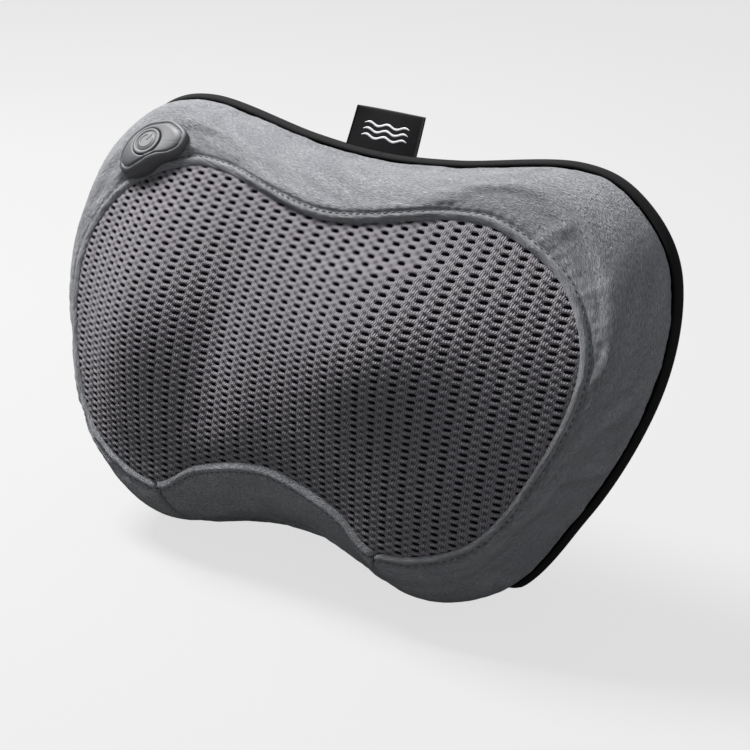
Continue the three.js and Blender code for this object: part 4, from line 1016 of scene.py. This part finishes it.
# %% Liner
def panel_sheet(name, drop, thickness, inset, stations=180, rings=26):
    """A smooth closed sheet under the panel, drawn as rings inside the mesh outline."""
    share = np.linspace(0, 1, stations, endpoint=False)
    edge = outline_at(mesh_curve, share) - inset * outline_normal(mesh_curve, share)
    centre = np.array([0, 0.02 * HEIGHT])
    rows = []
    for ratio in np.linspace(1, 0.02, rings):
        flat = centre + (edge - centre) * ratio
        depth = panel_height(flat[:, 0], flat[:, 1], rim_distance(flat[:, 0], flat[:, 1])) - drop
        rows.append(np.concatenate([flat, depth[:, None]], 1))
    rows = np.array(rows)
    under = rows[::-1] - [0, 0, thickness]
    loops = np.concatenate([rows, under]).transpose(1, 0, 2)
    points = loops.reshape(-1, 3)
    faces = grid_faces(stations, loops.shape[1], loop_rows=True)
    faces = outward(points, faces).tolist()
    columns = loops.shape[1]
    for column in (rings - 1, rings):
        ring = [row * columns + column for row in range(stations)]
        faces.append(ring if column == rings else ring[::-1])
    cloth = points * [1, 1, 0]
    return add_mesh(name, points, faces, cloth)


liner_sheet = panel_sheet("liner_sheet", KNIT_THICKNESS + 0.7, 0.8, 1.0)
finish_piece(liner_sheet, woven_black, stands_for=["inner_liner"])

# %% Rear band
BAND_DEPTH, BAND_THICKNESS = 14.0, 1.5
BACK_BULGE = 3.0


def swept_shell(name, profile, stations):
    """A shell round the rear seam; the profile's steps are the offset outwards, the depth and a lift."""
    share = np.linspace(0, 1, stations, endpoint=False)
    seam, normal = outline_at(seam_curve, share), outline_normal(seam_curve, share)
    loops = []
    for offset, depth, sunk in profile:
        flat = seam + normal * offset
        row = np.concatenate([flat, np.full((stations, 1), depth)], 1)
        loops.append(settle(row, 0.15 + sunk, 0.5))
    loops = np.array(loops).transpose(1, 0, 2)
    points = loops.reshape(-1, 3)
    faces = outward(points, grid_faces(stations, loops.shape[1], True, True))
    run = (share * seam_curve[2])[:, None] * np.ones(loops.shape[1])
    across = np.linalg.norm(np.diff(loops, axis=1), axis=-1).cumsum(1)
    across = np.concatenate([np.zeros((stations, 1)), across], 1)
    return add_mesh(name, points, faces, np.stack([run, across, run * 0], -1).reshape(-1, 3))


def band_profile():
    """The band's bulging outer side, rolled into the seam in front, and its inner side."""
    steps = np.linspace(0, 1, 17)
    bulge = 3.4 * np.sin(math.pi * np.minimum(steps + 0.12, 1)) - 2.2 * steps ** 2
    depth = -0.5 - steps * (BAND_DEPTH - 1.0)
    rolled = 0.9 * (1 - np.sqrt(1 - np.clip(1 - steps * BAND_DEPTH / 1.1, 0, 1) ** 2))
    outer = list(zip(bulge - rolled, depth, np.zeros(len(steps))))
    return outer + [(bulge[k] - BAND_THICKNESS, depth[k], BAND_THICKNESS) for k in (16, 12, 8, 4, 1)]


rear_band = swept_shell("rear_band", band_profile(), 420)
finish_piece(rear_band, woven_black, stands_for=["side_gusset"])

# %% Back cloth
BACK_STATIONS, BACK_BEND, BACK_THICKNESS = 300, 9.0, 1.2


def add_back(name):
    """The flat back: its edge turns forward to meet the band, and it dips a little at its seam."""
    share = np.linspace(0, 1, BACK_STATIONS, endpoint=False)
    seam, normal = outline_at(seam_curve, share), outline_normal(seam_curve, share)
    centre = np.array([0, 0.02 * HEIGHT])
    outer = []
    for angle in np.radians([0, 12, 24, 36, 48, 60, 72, 82, 90]):
        flat = seam - normal * (3.2 + BACK_BEND * (1 - math.cos(angle)))
        depth = -BAND_DEPTH - BACK_BULGE * math.sin(angle) + 0.5 * math.cos(angle)
        outer.append(np.concatenate([flat, np.full((BACK_STATIONS, 1), depth)], 1))
    edge = outer[-1]
    for ratio in np.linspace(0.94, 0.03, 22):
        flat = centre + (edge[:, :2] - centre) * ratio
        outer.append(np.concatenate([flat, edge[:, 2:]], 1))
    outer = np.array(outer)
    inner = outer[::-3] + [0, 0, BACK_THICKNESS]
    inner[-3:, :, :2] -= normal * BACK_THICKNESS
    loops = settle(np.concatenate([outer, inner]), 0.15, 0.5).transpose(1, 0, 2)
    points = loops.reshape(-1, 3)
    columns = loops.shape[1]
    middle = (len(outer) - 1, len(outer))       # the two smallest rings, which are closed flat
    faces = outward(points, grid_faces(BACK_STATIONS, columns, True, True))
    faces = [face for face in faces.tolist() if {corner % columns for corner in face} != set(middle)]
    rings = [[row * columns + column for row in range(BACK_STATIONS)] for column in middle]
    corner = points[rings[0]]
    turning = np.cross(corner[1:-1] - corner[0], corner[2:] - corner[0])[:, 2].sum()
    faces += [rings[0][::-1], rings[1]] if turning > 0 else [rings[0], rings[1][::-1]]
    return add_mesh(name, points, faces, points * [1, 1, 0])


back_cloth = add_back("back_cloth")
finish_piece(back_cloth, woven_black, stands_for=["back_panel"])

# %% [markdown]
# ## Topstitching
# A lockstitch shows as short lengths of thread, each diving into the cloth at both ends. Every stitch is
# a small bent bar laid in the groove, and all the stitches of one line are one mesh.

# %% Stitch helper
def stitch_line(name, path, normals, length, gap, width, material, rise):
    """Stitches along a path of sketch points; normals point out of the cloth."""
    steps = np.linalg.norm(np.diff(path, axis=0), axis=-1)
    run = np.concatenate([[0], np.cumsum(steps)])
    count = int(run[-1] / (length + gap))
    pitch = run[-1] / count
    long = pitch * length / (length + gap)
    along_shares = np.linspace(-0.5, 0.5, 7)
    ring = np.radians(np.arange(0, 360, 60))
    points, faces = [], []

    def at(distance, values):
        return np.array([np.interp(distance, run, values[:, axis]) for axis in range(3)])

    for number in range(count):
        start = len(points)
        for share in along_shares:
            place = (number + 0.5) * pitch + share * long
            centre, normal = at(place, path), unit(at(place, normals))
            tangent = unit(at(place + 0.3, path) - at(place - 0.3, path))
            side = unit(np.cross(normal, tangent))
            swell_share = math.sqrt(max(1 - (2 * share) ** 2, 0.02))
            lift = rise * (1 - (2 * share) ** 2) - 0.15
            for angle in ring:
                reach = width / 2 * (0.35 + 0.65 * swell_share)
                points.append(centre + normal * (lift + reach * 0.8 * math.sin(angle))
                              + side * reach * math.cos(angle))
        body = grid_faces(7, 6, loop_columns=True) + start
        faces += body.tolist() + [[start + k for k in range(5, -1, -1)], [start + 36 + k for k in range(6)]]
    return finish_piece(add_mesh(name, points, faces, np.array(points)), material)


def make_thread(name, dark, light):
    material, tree, shader = new_material(name, Roughness=0.6, Sheen_Weight=0.2, Specular_IOR_Level=0.35)
    twist = noise(tree, cloth_places(tree), 2.2).outputs[0]
    tree.links.new(blend_colours(tree, twist, dark, light), shader.inputs["Base Color"])
    add_bump(tree, shader, twist, 0.1 * MM, 0.8)
    return material


grey_thread = make_thread("thread_grey", (0.035, 0.037, 0.042), (0.085, 0.088, 0.096))


def surface_path(piece, stations, inset):
    """The line on a cover that keeps a distance from its rolled edge, with its normals."""
    places = np.empty(len(piece.data.vertices) * 3)
    piece.data.vertices.foreach_get("co", places)
    flat = np.array([to_sketch(point) for point in places.reshape(-1, 3)])
    outer = flat.reshape(stations, -1, 3)[:, len(TUCK_TURN):len(TUCK_TURN) + COVER_COLUMNS]
    normal = grid_normals(outer)
    steps = np.linalg.norm(np.diff(outer, axis=1), axis=-1)
    from_seam = np.concatenate([np.zeros((len(outer), 1)), np.cumsum(steps, 1)], 1)
    to_edge = from_seam[:, -1:] - from_seam
    path, up = [], []
    for row in range(len(outer)):
        order = to_edge[row][::-1]
        path.append([np.interp(inset, order, outer[row, ::-1, axis]) for axis in range(3)])
        up.append([np.interp(inset, order, normal[row, ::-1, axis]) for axis in range(3)])
    return np.array(path), unit(np.array(up))


for name, cover, stations in (("topstitch_cover", velour_cover, COVER_STATIONS),
                              ("topstitch_arch", arch_cover, ARCH_STATIONS)):
    path, up = surface_path(cover, stations, STITCH_INSET)
    stitch_line(name, path, up, 2.6, 1.2, 0.85, grey_thread, 0.36)

# %% [markdown]
# ## Label
# A black satin ribbon folded in half stands in the top seam, with three small woven waves on both faces.

# %% Label
LABEL_WIDTH, LABEL_HEIGHT, LABEL_LEAN = 42.0, 21.0, 4.5
label_high = outline_at(seam_curve, np.array([0.0]))[0, 1] + 3.4 + LABEL_HEIGHT
top_shares = np.linspace(-0.1, 0.1, 201)
top_line = outline_at(seam_curve, top_shares)
LABEL_CENTRE, LABEL_DEPTH = -3.0, -BAND_DEPTH / 3
satin_black = make_woven("satin_black", (0.005, 0.005, 0.006), (0.012, 0.012, 0.013), 0.3, 0.6, 0.03, 0.05)


def label_place(across, up, out):
    """A place on the label: across from -0.5 to 0.5, up from 0 to 1, and out of its middle."""
    x = LABEL_CENTRE + across * LABEL_WIDTH + up * LABEL_LEAN
    sway = 1.4 * np.sin(across * math.pi) * up + 1.3 * up ** 2 * (4 * across ** 2 - 0.5)
    foot = np.interp(LABEL_CENTRE + across * LABEL_WIDTH, top_line[:, 0], top_line[:, 1]) + 1.4
    return np.stack([x, foot + up * (label_high - foot), LABEL_DEPTH + sway + out], -1)


def add_label():
    ups = np.linspace(0, 0.965, 16)
    front = [(up, 0.62) for up in ups]
    fold = [(0.965 + 0.030 * math.sin(a), 0.62 * math.cos(a)) for a in np.radians([25, 50, 90, 130, 155])]
    back_side = [(up, -0.62) for up in ups[::-1]]
    inside = [(up, -0.14) for up in ups] + [(0.972, 0.0)] + [(up, 0.14) for up in ups[::-1]]
    profile = np.array(front + fold + back_side + inside)
    across = np.linspace(-0.5, 0.5, 31)[:, None]
    points = label_place(across, profile[None, :, 0], profile[None, :, 1])
    rows, columns = points.shape[:2]
    flat = points.reshape(-1, 3)
    faces = outward(flat, grid_faces(rows, columns, loop_columns=True)).tolist()
    count = len(ups)
    inner = len(front) + len(fold) + len(back_side)
    for row, turned in ((0, False), (rows - 1, True)):
        start = row * columns
        strips = []
        for k in range(count - 1):
            strips.append([start + k, start + k + 1, start + columns - 2 - k, start + columns - 1 - k])
            low = inner + k
            high = inner - 1 - k
            strips.append([start + low, start + low + 1, start + high - 1, start + high])
        top = [start + k for k in range(count - 1, count + len(fold) + 1)]
        top += [start + inner + count - 1, start + inner + count, start + inner + count + 1]
        strips.append(top)
        faces += [strip if turned else strip[::-1] for strip in strips]
    run = np.broadcast_to(across * LABEL_WIDTH, (rows, columns))
    cloth = np.stack([run, np.broadcast_to(profile[None, :, 0] * LABEL_HEIGHT, (rows, columns)),
                      run * 0], -1)
    return add_mesh("label_ribbon", flat, faces, cloth.reshape(-1, 3))


label_ribbon = add_label()
finish_piece(label_ribbon, satin_black, stands_for=["label_tag"])

# %% Woven waves
white_yarn = make_thread("yarn_white", (0.55, 0.55, 0.56), (0.80, 0.80, 0.80))


def add_waves(name, side):
    """Three waves as flat satin stitch, a tenth of a millimetre proud of the ribbon."""
    points, faces = [], []
    steps = np.linspace(0, 1, 61)
    for row, height in enumerate((0.36, 0.50, 0.64)):
        start = len(points)
        reach = 0.33
        across = -reach + 2 * reach * steps
        centre = height + 0.034 * np.sin(steps * 5 * math.pi)
        thick = 0.026 * np.sqrt(np.clip(np.sin(steps * math.pi) * 3, 0.05, 1))
        for edge, out in ((-1, 0.60), (-0.8, 0.72), (0.8, 0.72), (1, 0.60)):
            points += label_place(across, centre + edge * thick, side * out).tolist()
        strip = grid_faces(4, 61) + start
        faces += (strip if side > 0 else strip[:, ::-1]).tolist()
        faces += [[start, start + 61, start + 122, start + 183][::side],
                  [start + 60, start + 121, start + 182, start + 243][::-side]]
    piece = add_mesh(name, points, faces, np.array(points))
    return finish_piece(piece, white_yarn)


add_waves("label_waves_front", 1)
add_waves("label_waves_back", -1)

# %% [markdown]
# ## Switch patch
# A rubber bean is stitched on the top left of the wall, and the power button sits in its hole. The patch
# is a ring of rubber between the hole and the bean outline, with a soft top edge and a stitched groove.

# %% Patch
GROOVE_INSET = 2.9


def add_patch():
    edge = closed_loop(BEAN, 168)
    distance = np.hypot(edge[:, 0], edge[:, 1])
    inward = edge / distance[:, None]
    rim_line = edge - inward * (GROOVE_INSET + 0.75)
    hole_line = inward * (PATCH_HOLE + 0.9)
    loops = [(edge - inward * 0.25, None, 0.3), (edge, None, 0.7)]
    for inset, drop in ((0.0, 1.5), (0.12, 1.0), (0.45, 0.5), (0.95, 0.18), (1.6, 0.04),
                        (GROOVE_INSET - 0.75, 0.0), (GROOVE_INSET - 0.45, 0.3), (GROOVE_INSET, 0.7),
                        (GROOVE_INSET + 0.45, 0.3), (GROOVE_INSET + 0.75, 0.0)):
        loops.append((edge - inward * inset, drop, None))
    loops += [(rim_line + (hole_line - rim_line) * share, 0.0, None) for share in (0.35, 0.7)]
    for reach, drop in ((0.9, 0.0), (0.35, 0.12), (0.08, 0.4), (0.0, 0.9)):
        loops.append((inward * (PATCH_HOLE + reach), drop, None))
    loops += [(inward * PATCH_HOLE, None, 0.6),
              (edge - inward * (distance[:, None] - PATCH_HOLE) * 0.5, None, 0.5)]
    points = []
    for flat, drop, lift in loops:
        sag = wall_sag(flat[:, 0], flat[:, 1])
        height = sag + lift if drop is None else patch_face(flat, sag) - drop
        points.append(np.stack([flat[:, 0], flat[:, 1], height], -1))
    rows = patch_place(np.array(points)).transpose(1, 0, 2)
    flat = rows.reshape(-1, 3)
    faces = outward(flat, grid_faces(rows.shape[0], rows.shape[1], True, True))
    return add_mesh("rubber_patch", flat, faces, np.array(points).transpose(1, 0, 2).reshape(-1, 3))


def make_moulded_finish(name, colour, shade=0.85, smooth=0.35, rough=0.5, grain=0.4, bump=0.02,
                        from_cloth=False, **settings):
    """A moulded or machined finish: two near shades, uneven gloss and a fine grain."""
    material, tree, shader = new_material(name, **settings)
    place = cloth_places(tree) if from_cloth else solid_places(tree)
    skin = use_group(tree, moulded_group, Place=place, Grain_Size=grain, Smooth=smooth, Rough=rough)
    dark = tuple(channel * shade for channel in colour)
    tree.links.new(blend_colours(tree, skin.outputs["Shade"], dark, colour), shader.inputs["Base Color"])
    tree.links.new(skin.outputs["Roughness"], shader.inputs["Roughness"])
    add_bump(tree, shader, skin.outputs["Height"], bump * MM, 0.7)
    return material


rubber_grey = make_moulded_finish("rubber_grey", (0.088, 0.090, 0.096), 0.86, 0.5, 0.66, 0.35, 0.05, True,
                                  Specular_IOR_Level=0.4)
rubber_patch = add_patch()
finish_piece(rubber_patch, rubber_grey, stands_for=["button_patch"])

# %% Patch stitches
def add_patch_stitches():
    edge = closed_loop(BEAN, 260)
    line = edge - unit(edge) * GROOVE_INSET
    depth = patch_face(line, wall_sag(line[:, 0], line[:, 1])) - 0.62
    path = patch_place(np.concatenate([line, depth[:, None]], 1))
    path = np.vstack([path, path[:1]])
    normals = np.broadcast_to(patch_out, path.shape)
    return stitch_line("patch_stitches", path, normals, 2.3, 1.2, 0.7, dark_thread, 0.2)


dark_thread = make_thread("thread_dark", (0.035, 0.036, 0.04), (0.075, 0.077, 0.083))
add_patch_stitches()

# %% [markdown]
# ## Power button
# The button is a shallow rubber disc with a ring groove, and the standard power sign stands proud on it:
# a broken circle with a bar. It rides on its own body, so that it can be pressed.

# %% Power button
def lathe(name, profile, segments=64):
    """A solid of revolution on the patch's axis from radius and height pairs, closed on the axis."""
    angle = np.linspace(0, 2 * math.pi, segments, endpoint=False)
    rows = np.array([[(r * math.cos(a), r * math.sin(a), h) for r, h in profile] for a in angle])
    columns = rows.shape[1]
    local = rows.reshape(-1, 3)
    middle = np.array([[0, 0, profile[0][1]], [0, 0, profile[-1][1]]])
    points = patch_place(np.vstack([local, middle]))
    faces = outward(points, grid_faces(segments, columns, loop_rows=True)).tolist()
    order = 1 if faces[0][0] < faces[0][1] else -1
    for k in range(segments):
        n = (k + 1) % segments
        low = [segments * columns, k * columns, n * columns]
        high = [segments * columns + 1, n * columns + columns - 1, k * columns + columns - 1]
        faces += [low[::-order], high[::-order]]
    return add_mesh(name, points, faces, np.vstack([local, middle]))


button_disc = lathe("button_disc", [
    (2.6, -2.3), (2.6, button_low), (7.8, button_low), (8.1, button_low + 0.2), (8.2, button_low + 0.6),
    (8.2, button_top - 0.9), (8.08, button_top - 0.4), (7.75, button_top - 0.1), (7.3, button_top),
    (6.5, button_top), (6.3, button_top - 0.3), (6.05, button_top - 0.45), (5.8, button_top - 0.3),
    (5.6, button_top), (3.8, button_top + 0.02), (1.5, button_top + 0.05)])
finish_piece(button_disc, rubber_grey, body="button", stands_for=["power_button"])


SIGN_RADIUS, SIGN_STROKE, SIGN_TURN = 3.9, 0.50, math.radians(-22)


def add_power_sign():
    """The sign as raised bars: most of a circle, and a short upright bar."""
    arc = np.radians(np.linspace(38, 322, 45))
    lines = [[(SIGN_RADIUS * math.sin(a), SIGN_RADIUS * math.cos(a)) for a in arc],
             [(0.0, 0.4 + 4.4 * t) for t in np.linspace(0, 1, 9)]]
    ring = np.radians(np.arange(0, 360, 45))
    points, faces, local = [], [], []
    for line in lines:
        line = np.array(line)
        tangent = unit(np.gradient(line, axis=0))
        start = len(points)
        for number, (place, along) in enumerate(zip(line, tangent)):
            end = min(number, len(line) - 1 - number)
            size = SIGN_STROKE * (0.55 if end == 0 else 1.0)
            side = np.array([-along[1], along[0]])
            for angle in ring:
                flat = place + side * size * math.cos(angle)
                turned = (flat[0] * math.cos(SIGN_TURN) - flat[1] * math.sin(SIGN_TURN),
                          flat[0] * math.sin(SIGN_TURN) + flat[1] * math.cos(SIGN_TURN))
                local.append((*turned, button_top + 0.10 + 0.14 * math.sin(angle)))
                points.append(local[-1])
        count = len(line)
        faces += (grid_faces(count, 8, loop_columns=True) + start).tolist()
        faces += [[start + k for k in range(7, -1, -1)], [start + (count - 1) * 8 + k for k in range(8)]]
    flat = patch_place(points)
    return add_mesh("power_sign", flat, outward_mixed(flat, faces), local)


def outward_mixed(points, faces):
    """Faces of any size, turned together so that they face out."""
    volume = 0.0
    for face in faces:
        corner = points[face]
        for k in range(1, len(face) - 1):
            volume += corner[0] @ np.cross(corner[k], corner[k + 1])
    return faces if volume > 0 else [face[::-1] for face in faces]


sign_finish = make_moulded_finish("sign_dark", (0.030, 0.031, 0.034), 0.9, 0.45, 0.6, 0.3, 0.02, True)
power_sign = add_power_sign()
finish_piece(power_sign, sign_finish, body="button")

# %% [markdown]
# ## Foam
# The foam block inside is a soft solid, so it gets its own mesh: the model's solid is copied, remeshed to
# even squares and given the small open cells of cut foam.

# %% Foam block
def make_foam():
    material, tree, shader = new_material("foam_cream", Roughness=0.97, Specular_IOR_Level=0.1)
    place = solid_places(tree)
    cells = node(tree, "ShaderNodeTexVoronoi", {"Vector": place, "Scale": 0.9}).outputs["Distance"]
    colour = blend_colours(tree, cells, (0.50, 0.47, 0.38), (0.66, 0.63, 0.54))
    tree.links.new(colour, shader.inputs["Base Color"])
    add_bump(tree, shader, cells, 0.5 * MM, 0.8)
    return material


foam_mesh = frame["nodes"]["foam_body"].data.copy()
foam_block = add_object("foam_block", foam_mesh)
remesh = foam_block.modifiers.new("even", "REMESH")
remesh.mode = "VOXEL"
remesh.voxel_size = 3.2 * MM
remesh.use_smooth_shade = True
settled = foam_block.evaluated_get(bpy.context.evaluated_depsgraph_get())
foam_block.data = bpy.data.meshes.new_from_object(settled)
foam_block.modifiers.clear()
finish_piece(foam_block, make_foam(), stands_for=["foam_body"])

# %% [markdown]
# ## Finishes of the mechanism and the zip
# The carried-over parts keep their shape and get real finishes by their slot: moulded plastics for the
# housing and the gears, machined steel and brass, lacquered board, a red lens and blue cell sleeves.

# %% Mechanism finishes
slot_finishes = {
    "zip_fabric": make_moulded_finish("zip_tape_black", (0.014, 0.014, 0.015), 0.6, 0.75, 0.95, 0.6, 0.15),
    "zip_plastic": make_moulded_finish("zip_coil_black", (0.022, 0.022, 0.024), 0.7, 0.3, 0.5, 0.7, 0.2),
    "housing_plastic": make_moulded_finish("housing_black", (0.030, 0.031, 0.034), 0.8, 0.4, 0.6, 0.5, 0.04),
    "gear_plastic": make_moulded_finish("gear_ivory", (0.70, 0.68, 0.60), 0.9, 0.3, 0.45, 1.5, 0.01,
                                        Subsurface_Weight=0.1),
    "node_plastic": make_moulded_finish("head_grey", (0.42, 0.44, 0.47), 0.9, 0.25, 0.4, 1.2, 0.01),
    "socket_plastic": make_moulded_finish("socket_black", (0.02, 0.02, 0.021), 0.8, 0.3, 0.45, 0.5, 0.02),
    "steel": make_moulded_finish("steel_brushed", (0.56, 0.57, 0.58), 0.85, 0.2, 0.38, 0.3, 0.01,
                                 Metallic=1.0),
    "motor_steel": make_moulded_finish("motor_zinc", (0.50, 0.51, 0.50), 0.8, 0.28, 0.45, 1.0, 0.02,
                                       Metallic=1.0),
    "brass": make_moulded_finish("brass_turned", (0.78, 0.58, 0.28), 0.85, 0.2, 0.4, 0.3, 0.01,
                                 Metallic=1.0),
    "reflector": make_moulded_finish("reflector_bright", (0.80, 0.80, 0.80), 0.9, 0.08, 0.2, 1.0, 0.01,
                                     Metallic=1.0),
    "lamp_lens": make_moulded_finish("lens_red", (0.48, 0.025, 0.015), 0.8, 0.05, 0.15, 2.0, 0.005,
                                     Coat_Weight=0.6),
    "circuit_board": make_moulded_finish("board_green", (0.015, 0.13, 0.045), 0.75, 0.25, 0.4, 0.8, 0.03,
                                         Coat_Weight=0.3),
    "cell_sleeve": make_moulded_finish("sleeve_blue", (0.03, 0.12, 0.38), 0.85, 0.2, 0.35, 1.5, 0.01,
                                       Coat_Weight=0.3),
    "patch_rubber": rubber_grey,
    "plush": velour,
    "spacer_mesh": knit_finish,
    "black_fabric": woven_black,
    "woven_label": satin_black,
    "foam": foam_block.data.materials[0],
}
for part in frame["record"]["subparts"]:
    solid_node = frame["nodes"][part["node"]]
    solid_node.data.materials.clear()
    solid_node.data.materials.append(slot_finishes[part["material_slot"]])
